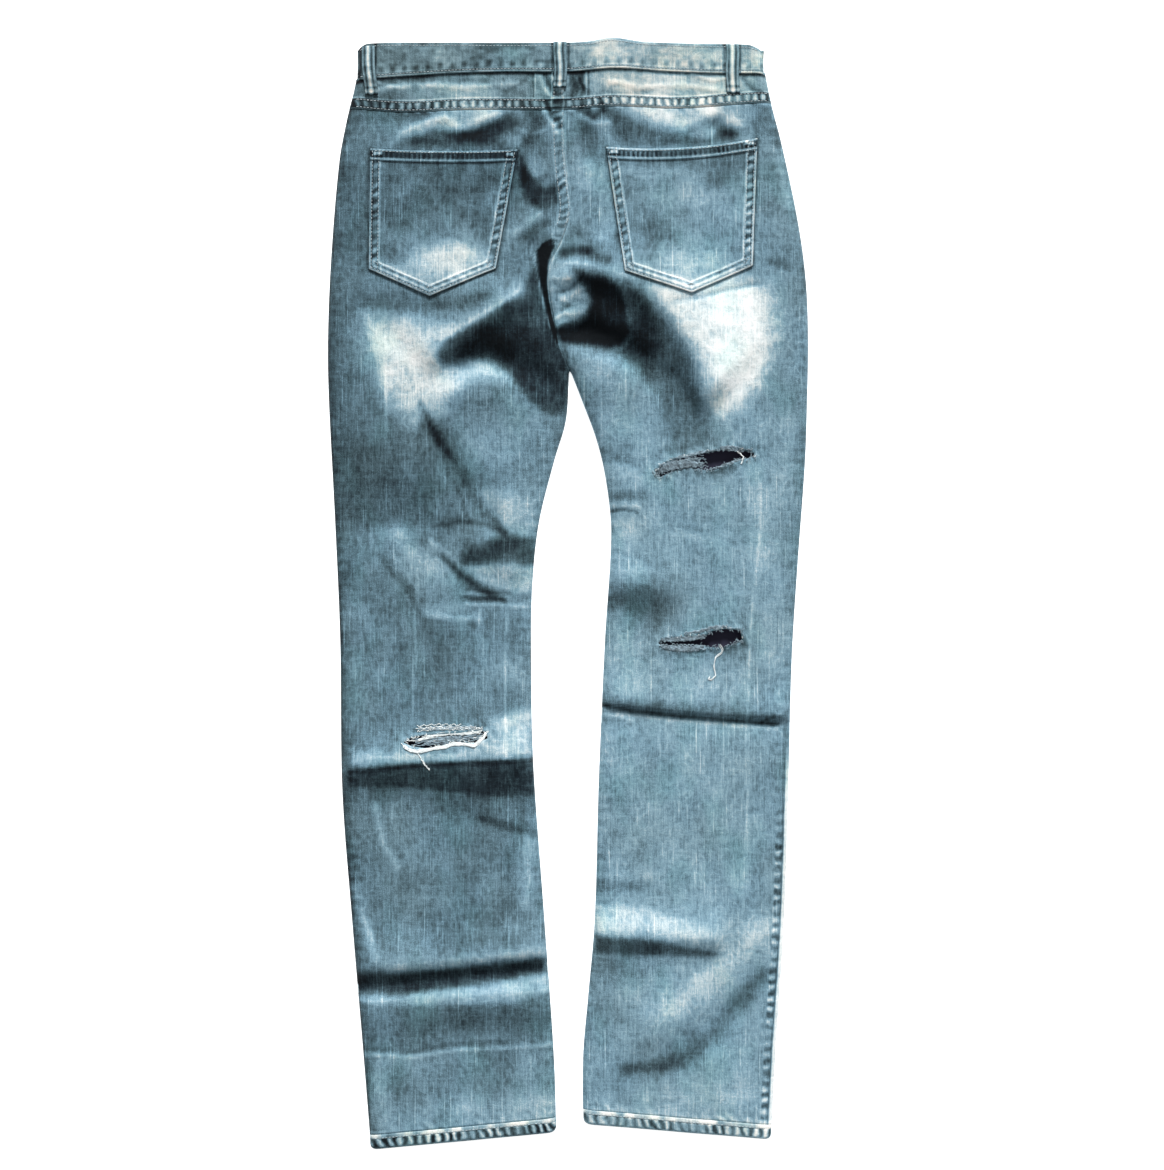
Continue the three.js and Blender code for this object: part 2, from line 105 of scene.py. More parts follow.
def make_denim_group():
    """Colour, roughness and height of faded twill.

    The fade is moved by long slubs along the warp, short ones along the weft, a fine grain, the diagonal
    ribs, and the roping of a seam: a wave along it, as strong as the piece's own "rope" value.
    """
    tree = bpy.data.node_groups.new("faded twill", "ShaderNodeTree")
    for way, names in [
        ("INPUT", ["Fade", "Rope", "Phase", "Cloth", "Slub", "Warmth"]),
        ("OUTPUT", ["Color", "Roughness", "Height"]),
    ]:
        for name in names:
            kind = {"Cloth": "Vector", "Color": "Color"}.get(name, "Float")
            tree.interface.new_socket(name, in_out=way, socket_type="NodeSocket" + kind)
    w = Wires(tree)
    inside = w.add("NodeGroupInput").outputs
    outside = w.add("NodeGroupOutput").inputs
    cloth = inside["Cloth"]

    long_slubs = w.streaks(cloth, 450, 13, 4)
    short_slubs = w.streaks(cloth, 700, 85, 3)
    weft_slubs = w.streaks(cloth, 75, 460, 3)
    crackle = w.math("ABSOLUTE", w.streaks(cloth, 125, 88, 5))
    crackle = w.math("SUBTRACT", 0.09, w.math("MINIMUM", crackle, 0.16))
    pale_slubs = w.streaks(cloth, 540, 17, 1)
    pale_slubs = w.math("MAXIMUM", w.math("SUBTRACT", pale_slubs, 0.12), 0.0)
    warm_patches = w.streaks(cloth, 16, 11, 3)
    green_patches = w.streaks(cloth, 23, 14, 3)
    grain = w.streaks(cloth, 1500, 1100, 1)
    blotches = w.streaks(cloth, 55, 38, 4)

    split = w.add("ShaderNodeSeparateXYZ")
    w.join(cloth, split.inputs[0])
    across_ribs = w.math("ADD", split.outputs[0], split.outputs[1])
    rib = w.math("SINE", w.math("MULTIPLY", across_ribs, 2 * np.pi / TWILL))

    wander = w.streaks(cloth, 90, 90, 2)
    turn = w.math("ADD", inside["Phase"], w.math("MULTIPLY", wander, 0.9))
    wave = w.math("SINE", w.math("MULTIPLY", turn, 2 * np.pi))
    roped = w.math("MULTIPLY", wave, inside["Rope"])

    slubs = w.weighted(
        (long_slubs, 0.2), (short_slubs, 0.26), (weft_slubs, 0.15), (grain, 0.42), (pale_slubs, 1.0)
    )
    worn = w.weighted((slubs, inside["Slub"]), (crackle, 0.55), (blotches, 0.2), (rib, 0.035))
    worn = w.math("ADD", w.math("ADD", worn, roped), inside["Fade"], clamp=True)

    ramp = w.add("ShaderNodeValToRGB")
    steps = ramp.color_ramp.elements
    steps[0].color, steps[1].color = (*DENIM_STEPS[0][1], 1), (*DENIM_STEPS[-1][1], 1)
    for position, color in DENIM_STEPS[1:-1]:
        steps.new(position).color = (*color, 1)
    w.join(worn, ramp.inputs[0])

    color = ramp.outputs["Color"]
    for patches, always, strength, tint in [
        (warm_patches, inside["Warmth"], 1.5, (1.0, 0.9, 0.81, 1)),
        (green_patches, 0.0, 3.0, (0.84, 1.0, 0.94, 1)),
    ]:
        multiply = w.add("ShaderNodeMix", data_type="RGBA", blend_type="MULTIPLY")
        share = w.math("ADD", w.math("MULTIPLY", patches, strength), always, clamp=True)
        w.join(share, multiply.inputs["Factor"])
        w.join(color, multiply.inputs[6])
        multiply.inputs[7].default_value = tint
        color = multiply.outputs[2]
    w.join(color, outside["Color"])

    w.join(w.math("ADD", 0.86, w.math("MULTIPLY", grain, 0.2)), outside["Roughness"])
    height = w.weighted((rib, 0.12), (grain, 0.5), (short_slubs, 0.5), (roped, 1.2), (crackle, 5.0))
    w.join(height, outside["Height"])
    return tree


faded_twill = make_denim_group()


def new_material(name):
    """A material, its tree's wires and its surface's inputs."""
    material = bpy.data.materials.new(name)
    material.use_nodes = True
    return material, Wires(material.node_tree), material.node_tree.nodes["Principled BSDF"].inputs


def make_denim(name, slub=1.0, warmth=0.0):
    """Denim for one kind of piece, reading the piece's own fade, rope and phase and its map of the cloth."""
    material, w, surface = new_material(name)
    twill = w.add("ShaderNodeGroup", node_tree=faded_twill)
    for attribute, socket in [("fade", "Fade"), ("rope", "Rope"), ("phase", "Phase")]:
        w.join(w.add("ShaderNodeAttribute", attribute_name=attribute).outputs["Fac"], twill.inputs[socket])
    w.join(w.add("ShaderNodeUVMap", uv_map="cloth").outputs["UV"], twill.inputs["Cloth"])
    twill.inputs["Slub"].default_value = slub
    twill.inputs["Warmth"].default_value = warmth
    w.join(twill.outputs["Color"], surface["Base Color"])
    w.join(twill.outputs["Roughness"], surface["Roughness"])
    surface["Specular IOR Level"].default_value = 0.15
    bump = w.add("ShaderNodeBump")
    bump.inputs["Strength"].default_value = 0.6
    bump.inputs["Distance"].default_value = 0.0006
    w.join(twill.outputs["Height"], bump.inputs["Height"])
    w.join(bump.outputs["Normal"], surface["Normal"])
    return material


def plain_material(name, color, roughness, metallic=0.0, speckle=0.0):
    """One colour, or one that varies by the share speckle from place to place."""
    material, w, surface = new_material(name)
    surface["Base Color"].default_value = (*color, 1)
    surface["Roughness"].default_value = roughness
    surface["Metallic"].default_value = metallic
    if speckle:
        place = w.add("ShaderNodeTexCoord").outputs["Object"]
        spread = w.add("ShaderNodeMix", data_type="RGBA", blend_type="MIX")
        share = w.math("MULTIPLY", w.noise(place, 260.0, 3.0), 2.2)
        w.join(w.math("ADD", share, 0.5, clamp=True), spread.inputs[0])
        spread.inputs[6].default_value = (*[c * (1 - speckle) for c in color], 1)
        spread.inputs[7].default_value = (*[min(1, c * (1 + speckle)) for c in color], 1)
        w.join(spread.outputs[2], surface["Base Color"])
    return material


panel_denim = make_denim("panel denim", warmth=0.15)
# The inner faces of the cloth are a near-black painted shade, standing in for the shade inside the legs seen
# through the tears.
painted_shade_inside = plain_material("painted shade inside the denim", (0.022, 0.022, 0.045), 0.95)

# ----------------------------------------
# Front panels, one to a leg. They lie underneath and flat, and turn up at the sides to meet the back
# panels. A quarter of an ellipse is scooped out of each for the front pocket, and its facing fills it.
MM = 0.001
CLOTH = 1.2  # one layer
RIM = 2.7  # height of the side seams, half way round the edge
CROTCH = 216
WAIST = 500  # y by the waistband's seam


def through(*stations):
    """A smooth curve through (at, value) stations: cubics whose slopes come from the neighbours."""
    at, value = np.array(stations, float).T
    slope = np.gradient(value)
    slope[1:-1] = (value[2:] - value[:-2]) / (at[2:] - at[:-2])
    slope[[0, -1]] = (value[[1, -1]] - value[[0, -2]]) / (at[[1, -1]] - at[[0, -2]])

    def curve(x):
        x = np.clip(np.asarray(x, float), at[0], at[-1])
        i = np.clip(np.searchsorted(at, x) - 1, 0, len(at) - 2)
        span = at[i + 1] - at[i]
        t = (x - at[i]) / span
        rest = 1 - t
        ends = rest**2 * (1 + 2 * t) * value[i] + t**2 * (3 - 2 * t) * value[i + 1]
        return ends + span * (t * rest**2 * slope[i] - t**2 * rest * slope[i + 1])

    return curve


def smooth(x, low, high):
    """0 below low, 1 above high, and an S between."""
    t = np.clip((x - low) / (high - low), 0, 1)
    return t * t * (3 - 2 * t)


def mix(a, b, t):
    """a where t is 0, b where t is 1, and in proportion between."""
    return a + (b - a) * t


def rounded(distance, width):
    """How much of its height an edge has lost: 1 at the edge, 0 from width inwards."""
    left = 1 - np.clip(distance / width, 0, 1)
    return 1 - np.sqrt(1 - left**2)


def bell(distance, width):
    """1 at no distance, and e to the minus square of distance over width further off."""
    return np.exp(-((distance / width) ** 2))


seat_seam = through(
    (216, 2), (242, -8), (290, -18), (317, -18), (344, -6), (372, 2), (402, -1), (436, -4), (520, -4)
)
outer_edge = {
    "left": through(
        (-540, -192), (-452, -199), (-316, -210.5), (-190, -220), (-45, -222), (72, -227), (189, -233),
        (247, -234), (325, -231), (421, -223), (460, -216), (501, -206.5), (540, -203.5),
    ),
    "right": through(
        (-540, 197.5), (-452, 201.8), (-316, 210.5), (-199, 214.4), (-63, 218), (33, 224), (130, 231),
        (189, 233), (247, 234), (305, 231.8), (363, 224), (441, 207.6), (478, 198), (530, 188), (540, 187),
    ),
}
leg_inner_edge = {
    "left": through(
        (-540, -11), (-452, -13.6), (-316, -23), (-160, -34), (-44, -36), (14, -34.5), (72, -28),
        (130, -13.6), (170, -2), (216, 1),
    ),
    "right": through(
        (-540, 15), (-452, 14.6), (-393, 19.4), (-316, 26), (-180, 30), (-44, 36), (60, 42), (111, 37),
        (150, 28), (189, 13.6), (216, 3),
    ),
}
waist_seam = through(
    (-208, 499), (-160, 502.5), (-110, 505.5), (-60, 507), (0, 507), (46, 510.5), (92, 507.5), (140, 505.5),
    (200, 505.5),
)
hem_edge = {"left": through((-192, -540), (-11, -523)), "right": through((15, -515), (197, -530))}
HEM_DEPTH = 14
SIDES = {"left": -1, "right": 1}


def from_side(side, x, y):
    """Distance from the side seam, the inseam or the crotch point, whichever is nearest."""
    to_outer = np.abs(x - outer_edge[side](y))
    to_crotch = np.hypot(x - seat_seam(CROTCH), y - CROTCH)
    to_inner = np.where(y < CROTCH, np.abs(x - leg_inner_edge[side](y)), to_crotch)
    return np.minimum(to_outer, to_inner)


def panel_plan(side, shares, rows, top_seam, inner):
    """Plan of a panel: x rises along the columns, by shares of the width, and y along the rows, which run
    from the hem's seam to the seam across the top. Each column's ends are where it crosses those seams."""
    def column_x(y):
        edges = np.sort(np.stack([outer_edge[side](y), inner(y)]), axis=0)
        return mix(*edges, shares)

    bottom = hem_edge[side](column_x(np.zeros_like(shares)))
    top = top_seam(column_x(np.full_like(shares, 480.0)))  # near enough to start from
    for _ in range(5):
        bottom = hem_edge[side](column_x(bottom))
        top = top_seam(column_x(top))
    y = mix(bottom + HEM_DEPTH, top, np.linspace(0, 1, rows)[:, None])
    return column_x(y), y


def put_mesh(name, points, faces, materials):
    """A smooth object of faces with four corners, between points in mm."""
    mesh = bpy.data.meshes.new(name)
    mesh.vertices.add(len(points))
    mesh.vertices.foreach_set("co", points.ravel() * MM)
    mesh.loops.add(faces.size)
    mesh.loops.foreach_set("vertex_index", faces.ravel())
    mesh.polygons.add(len(faces))
    mesh.polygons.foreach_set("loop_start", np.arange(0, faces.size, 4))
    mesh.update(calc_edges=True)
    mesh.shade_smooth()
    for material in materials:
        mesh.materials.append(material)
    piece = bpy.data.objects.new(name, mesh)
    bpy.context.scene.collection.objects.link(piece)
    return piece


CORNERS = [np.s_[:-1, :-1], np.s_[:-1, 1:], np.s_[1:, 1:], np.s_[1:, :-1]]  # of every cell of a grid


def put_grid(name, x, y, z, material, cloth_xy, thickness, keep=None, **values):
    """One grid of cloth, in mm, as a mesh: quads between the rows and columns of x, y and z, kept where keep
    is true, facing up where x rises along the columns. cloth_xy is the map of the cloth, in mm, and each
    keyword a value for every point. Solidify thickens it away from its face."""
    rows, columns = x.shape
    number = np.arange(rows * columns).reshape(rows, columns)
    quads = np.stack([number[corner] for corner in CORNERS], axis=-1)
    quads = quads.reshape(-1, 4) if keep is None else quads[keep]
    used, quads = np.unique(quads, return_inverse=True)
    quads = quads.reshape(-1, 4)
    points = np.stack([x, y, z], axis=-1).reshape(-1, 3)[used]
    piece = put_mesh(name, points, quads, [material, painted_shade_inside])
    mesh = piece.data
    cloth_map = np.stack(np.broadcast_arrays(*cloth_xy, x)[:2], axis=-1).reshape(-1, 2)[used] * MM
    mesh.uv_layers.new(name="cloth").data.foreach_set("uv", cloth_map[quads.ravel()].ravel())
    for attribute, value in values.items():
        value = np.broadcast_to(value, x.shape).ravel()[used]
        mesh.attributes.new(attribute, "FLOAT", "POINT").data.foreach_set("value", value)
    wall = piece.modifiers.new("wall", "SOLIDIFY")
    wall.thickness = thickness * MM
    wall.offset = -1
    # The inner faces take the second material, the painted shade of the inside.
    wall.material_offset = 1
    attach(piece, "root")
    return piece


def edge_shares(count, crowding):
    """Shares of a width from 0 to 1, closer together towards both sides."""
    even = np.linspace(0, 1, count)
    return mix(even, 0.5 - 0.5 * np.cos(np.pi * even), crowding)


def mottle(x, y, size, seed):
    """Soft random unevenness from -1 to 1: random heights on a lattice of that size, joined by S curves."""
    lattice = np.random.default_rng(seed).uniform(-1, 1, (97, 97))
    u, v = x / size + 40.5, y / size + 40.5
    i, j = np.floor(u).astype(int), np.floor(v).astype(int)
    s, t = smooth(u - i, 0, 1), smooth(v - j, 0, 1)
    i, j = i % 96, j % 96
    return mix(mix(lattice[i, j], lattice[i + 1, j], s), mix(lattice[i, j + 1], lattice[i + 1, j + 1], s), t)


BUTTON = (30, 519)
FRONT_CENTRE = 20
FRONT_LOOPS = (-112, 104)
FRONT_POCKET = (96, 76)  # half width and half height of the scoop
FRONT_POCKET_Y = 502


def front_lift(x, y):
    """How far the front is held off the floor by the button and the front belt loops."""
    from_button = np.hypot(x - BUTTON[0], y - BUTTON[1])
    button = 4.3 * (1 - smooth(from_button, 10.5, 52))
    over_loop = [1 - smooth(np.abs(x - at), 18, 46) for at in FRONT_LOOPS]
    return np.maximum(button, 2.0 * smooth(y, 430, 462) * np.maximum(*over_loop))


def turned_up(distance):
    """Height of the underside near a side seam: a quarter of an ellipse, 5 mm wide, up to the rim."""
    return RIM * rounded(distance, 5)


def front_centre_seam(y):
    """x of the front's centre seam: from the crotch to the fly by an S curve."""
    return mix(seat_seam(CROTCH), FRONT_CENTRE, smooth(y, CROTCH, 330))


FRONT_COLUMNS, FRONT_ROWS = 44, 220
FRONT_MAP_WIDTH = 190  # of a front panel, in the map of its cloth
for side, way in SIDES.items():
    def front_inner(y, side=side):
        """x of the leg's inner edge below the crotch, and of the centre seam above it."""
        return np.where(y < CROTCH, leg_inner_edge[side](y), front_centre_seam(y))

    shares = edge_shares(FRONT_COLUMNS, 0.5)
    x, y = panel_plan(side, shares, FRONT_ROWS, waist_seam, front_inner)
    to_seams = np.where(y < CROTCH, from_side(side, x, y), np.abs(x - outer_edge[side](y)))
    z = front_lift(x, y) + turned_up(to_seams)
    pocket_x, pocket_y = outer_edge[side](WAIST), FRONT_POCKET_Y
    in_scoop = np.hypot((x - pocket_x) / FRONT_POCKET[0], (y - pocket_y) / FRONT_POCKET[1]) < 1
    cell_in_scoop = np.all([in_scoop[corner] for corner in CORNERS], axis=0)
    fade = 0.5 + 0.12 * bell(x - way * 115, 60) + 0.05 * mottle(x, y, 40, 3) + 0.2 * bell(to_seams, 3)
    # The front looks down, so its columns run the other way.
    flip = np.s_[:, ::-1]
    cloth = (shares[::-1] * FRONT_MAP_WIDTH, y[flip])
    for name, keep, flat, area in [
        (f"front_panel_{side}", ~cell_in_scoop, (0.25, 1.03), 0.205),
        (f"pocket_facing_{side}", cell_in_scoop, (0.12, 0.085), 0.0057),
    ]:
        piece = put_grid(
            name + "_cloth", x[flip], y[flip], z[flip], panel_denim, cloth, CLOTH,
            keep=keep[flip], fade=fade[flip], rope=0.0, phase=0.0,
        )
        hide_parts(name)

# ----------------------------------------
# Back panels, one to a leg, from the yoke seam to the hem. They lie on the front panels in long soft folds.
# The side seams are plain, the seat seam is felled: folded into itself and stitched down in two rows.
LEG_LOFT = 5
SEAT_LOFT = 11
ROLL = 14
yoke_seam = through(
    (-214, 472), (-162, 467.5), (-100, 470), (-4, 470), (44, 473.5), (108, 471.5), (160, 475), (202, 477.5)
)

# Folds: from x, y, to x, y, the bow to the left of that way, the height of the crest (or, below 0, the depth
# of the trough), the widths over which it dies away to its left and right, and the share of its length over
# which it sets in at each end.
FOLDS = [
    # Left leg: under the knee, on the calf and on the shin.
    (-222, -166, -34, -155, 0, 7.5, 26, 24, 0),
    (-208, -361, -18, -344, 0, 7, 24, 13, 0),
    (-205, -384, -18, -363, 0, -4, 9, 6, 0),
    (-204, -398, -16, -386, 0, 5, 9, 34, 0),
    # Left thigh and knee.
    (-137, 176, -58, 50, 0, -4.5, 12, 16, 0.25),
    (-112, 50, -36, 18, 0, 3, 22, 12, 0.2),
    # Left seat: the crest under the pocket, the hollow beside the crotch and the thigh below it.
    (-150, 218, -42, 297, 0, 7, 46, 15, 0.2),
    (-118, 214, -8, 196, 18, -8, 16, 14, 0.15),
    (-134, 200, -28, 172, 24, 4, 12, 34, 0.2),
    (-36, 352, -17, 262, -4, -6, 7, 5, 0.15),
    (-205, 288, -106, 280, 0, -2, 9, 9, 0.2),
    # Right seat: the long crest round the hollow, the hollow itself and the thigh below it.
    (-16, 315, 140, 169, 47, 11, 50, 16, 0.12),
    (-8, 262, 125, 150, 23, -10, 14, 13, 0.12),
    (2, 232, 76, 214, 0, 4, 8, 38, 0.1),
    (98, 226, 124, 160, 0, -3, 12, 10, 0.25),
    # Right leg: above the knee, the pressed crease under it, the shin and the ankle.
    (30, 16, 122, 5, 0, 5, 24, 18, 0.2),
    (32, -102, 214, -117, -3, 4, 24, 5, 0),
    (32, -112, 214, -127, -3, -3, 5, 16, 0),
    (18, -330, 158, -334, 0, 7, 20, 15, 0.12),
    (48, -463, 180, -386, -10, -4, 14, 14, 0.25),
    # Over the pockets, where the waist pulls.
    (134, 462, 162, 441, 0, -3, 8, 8, 0.3),
    (22, 460, 18, 412, 0, -2.5, 9, 9, 0.3),
    (-136, 446, -66, 446, 6, -1.8, 9, 9, 0.25),
    (-26, 408, -16, 382, 0, -2.5, 8, 8, 0.3),
]


def inner_edge(side, y):
    """x of the leg's inner edge below the crotch, and of the seat seam above it."""
    return np.where(y < CROTCH, leg_inner_edge[side](y), seat_seam(y))


def fold_height(x, y, fold):
    """A ridge or trough along a bowed line: an S curve at both ends, and across it a bell whose two sides
    have widths of their own."""
    x0, y0, x1, y1, bow, rise, left, right, fade = fold
    dx, dy = x1 - x0, y1 - y0
    length = np.hypot(dx, dy)
    along = ((x - x0) * dx + (y - y0) * dy) / length**2
    t = np.clip(along, 0, 1)
    off = ((y - y0) * dx - (x - x0) * dy) / length - bow * 4 * t * (1 - t)
    ends = smooth(along, 0, fade) * smooth(1 - along, 0, fade) if fade else np.abs(along - 0.5) < 0.7
    return rise * ends * bell(off, np.where(off > 0, left, right))


def reached_at(lengths):
    """How far along a line each of its points is, from the lengths of its runs."""
    return np.concatenate([[0], np.cumsum(lengths)])


def nearest_on(line, x, y):
    """The nearest place on a line of points: how far it is (above 0 on the line's left), how far along the
    line, and the way to it."""
    line = np.array(line, float)
    length = np.hypot(*np.diff(line, axis=0).T)
    reached = reached_at(length)
    nearest = np.full(np.shape(x), 1e9)
    side, along, to_x, to_y = (np.zeros(np.shape(x)) for _ in range(4))
    for (x0, y0), (x1, y1), span, before in zip(line[:-1], line[1:], length, reached):
        t = np.clip(((x - x0) * (x1 - x0) + (y - y0) * (y1 - y0)) / span**2, 0, 1)
        dx, dy = x0 + t * (x1 - x0) - x, y0 + t * (y1 - y0) - y
        distance = np.hypot(dx, dy)
        nearer = distance < nearest
        nearest = np.where(nearer, distance, nearest)
        side = np.where(nearer, np.sign((y - y0) * (x1 - x0) - (x - x0) * (y1 - y0)), side)
        along = np.where(nearer, before + t * span, along)
        to_x, to_y = np.where(nearer, dx, to_x), np.where(nearer, dy, to_y)
    return nearest * side, along, to_x, to_y


def cloth_top(side, x, y):
    """Height of the upper cloth: the rim, and over it the loft and the folds, rounded off at the sides."""
    lie = mix(LEG_LOFT, SEAT_LOFT, smooth(y, 130, 320))
    lie = lie + 0.35 * mottle(x, y, 17, 5) + 0.5 * mottle(x, y, 46, 6)
    for fold in FOLDS:
        lie = lie + fold_height(x, y, fold)
    for _, rise, half_width, line in STROKES:
        if rise:
            lie = lie + rise * bell(nearest_on(line, x, y)[0], half_width)
    never_below = 0.5 * (lie + np.sqrt(lie**2 + 4))
    return RIM + (1 - rounded(from_side(side, x, y), ROLL)) * never_below


def top_across(x, y, parted_at):
    """Height of the upper cloth over both sides, which meet at the seat seam."""
    return np.where(x < seat_seam(parted_at), cloth_top("left", x, y), cloth_top("right", x, y))


# Where the cloth is faded or dark, drawn in three ways: partly the real fade of the wash, and partly painted
# highlight and painted shade where folds, creases, hollows and the pockets' edges face the light or lie in
# shade. An oval: what it adds to the fade, its middle, its half width and half height, and how far it is
# turned, in degrees.
OVALS = [
    # Left seat.
    (0.10, -148, 236, 22, 32, 0),
    (-0.12, -78, 246, 36, 15, 18),
    (0.07, -32, 268, 12, 22, 0),
    (0.05, -18, 205, 14, 22, 0),
    (-0.06, -22, 205, 16, 24, 0),
    (-0.12, -150, 468, 60, 9, -4),
    (-0.09, -210, 380, 18, 90, 0),
    (-0.04, -22, 420, 40, 60, 0),
    (-0.04, -125, 385, 60, 45, 0),
    (0.10, -110, 335, 30, 26, 0),
    (-0.10, -165, 375, 26, 12, 15),
    (0.12, -30, 414, 11, 15, 30),
    (-0.07, -92, 398, 40, 18, 0),
    (0.10, -55, 440, 12, 10, 0),
    # Left thigh and knee.
    (0.08, -66, 150, 48, 46, 0),
    (0.08, -62, 82, 20, 24, 0),
    (0.05, -190, 185, 18, 40, 0),
    (-0.11, -160, 108, 46, 44, 0),
    (-0.06, -205, 130, 30, 90, 0),
    (-0.15, -84, 210, 34, 10, -6),
    (-0.15, -100, 17, 17, 5, -42),
    (-0.13, -80, -4, 17, 4, 0),
    (0.08, -150, 24, 40, 14, -20),
    (-0.08, -120, 72, 20, 9, 0),
    (0.13, -168, 62, 30, 8, 0),
    (0.11, -118, -16, 28, 9, 0),
    (-0.07, -125, -50, 13, 32, 0),
    (0.10, -65, -76, 30, 12, 0),
    # Left shin.
    (-0.06, -100, -318, 62, 17, 0),
    (-0.13, -88, -413, 60, 15, 2),
    (0.14, -184, -474, 12, 30, 0),
    (0.10, -36, -462, 14, 26, 0),
    (0.08, -90, -350, 70, 8, 4),
    # Right seat.
    (0.12, 128, 386, 36, 14, 0),
    (-0.11, 80, 352, 34, 20, 12),
    (-0.12, 145, 400, 16, 8, 0),
    (0.10, 62, 412, 30, 8, 0),
    (-0.18, 20, 446, 11, 22, 5),
    (-0.12, 190, 455, 12, 20, 20),
    (0.12, 22, 405, 14, 16, 0),
    (0.10, 25, 345, 16, 9, 0),
    (0.12, 30, 215, 22, 16, -20),
    (-0.2, 34, 252, 36, 8, 5),
    (0.14, 112, 318, 46, 16, 0),
    (-0.10, 205, 390, 16, 60, 8),
    # Right leg.
    (-0.16, 58, 95, 20, 7, 0),
    (0.11, 60, 68, 22, 14, 0),
    (-0.07, 95, 25, 14, 26, -30),
    (0.08, 62, 22, 20, 8, 0),
    (-0.23, 60, -6, 44, 17, -8),
    (-0.13, 122, 64, 12, 4, -18),
    (0.09, 120, 56, 14, 4, -18),
    (-0.08, 90, -30, 18, 12, 0),
    (0.10, 60, -80, 20, 24, 0),
    (0.06, 145, -84, 32, 16, 0),
    (0.07, 190, 55, 22, 62, 0),
    (-0.30, 146, 125, 22, 8, 12),
    (-0.22, 166, 140, 20, 6, 6),
    (-0.14, 110, 142, 26, 6, 12),
    (-0.12, 108, -57, 26, 5, 0),
    (-0.30, 152, -46, 22, 9, 0),
    (-0.13, 50, -362, 42, 18, 0),
    (-0.07, 45, -415, 24, 22, 0),
    (0.06, 150, -485, 50, 16, 0),
]

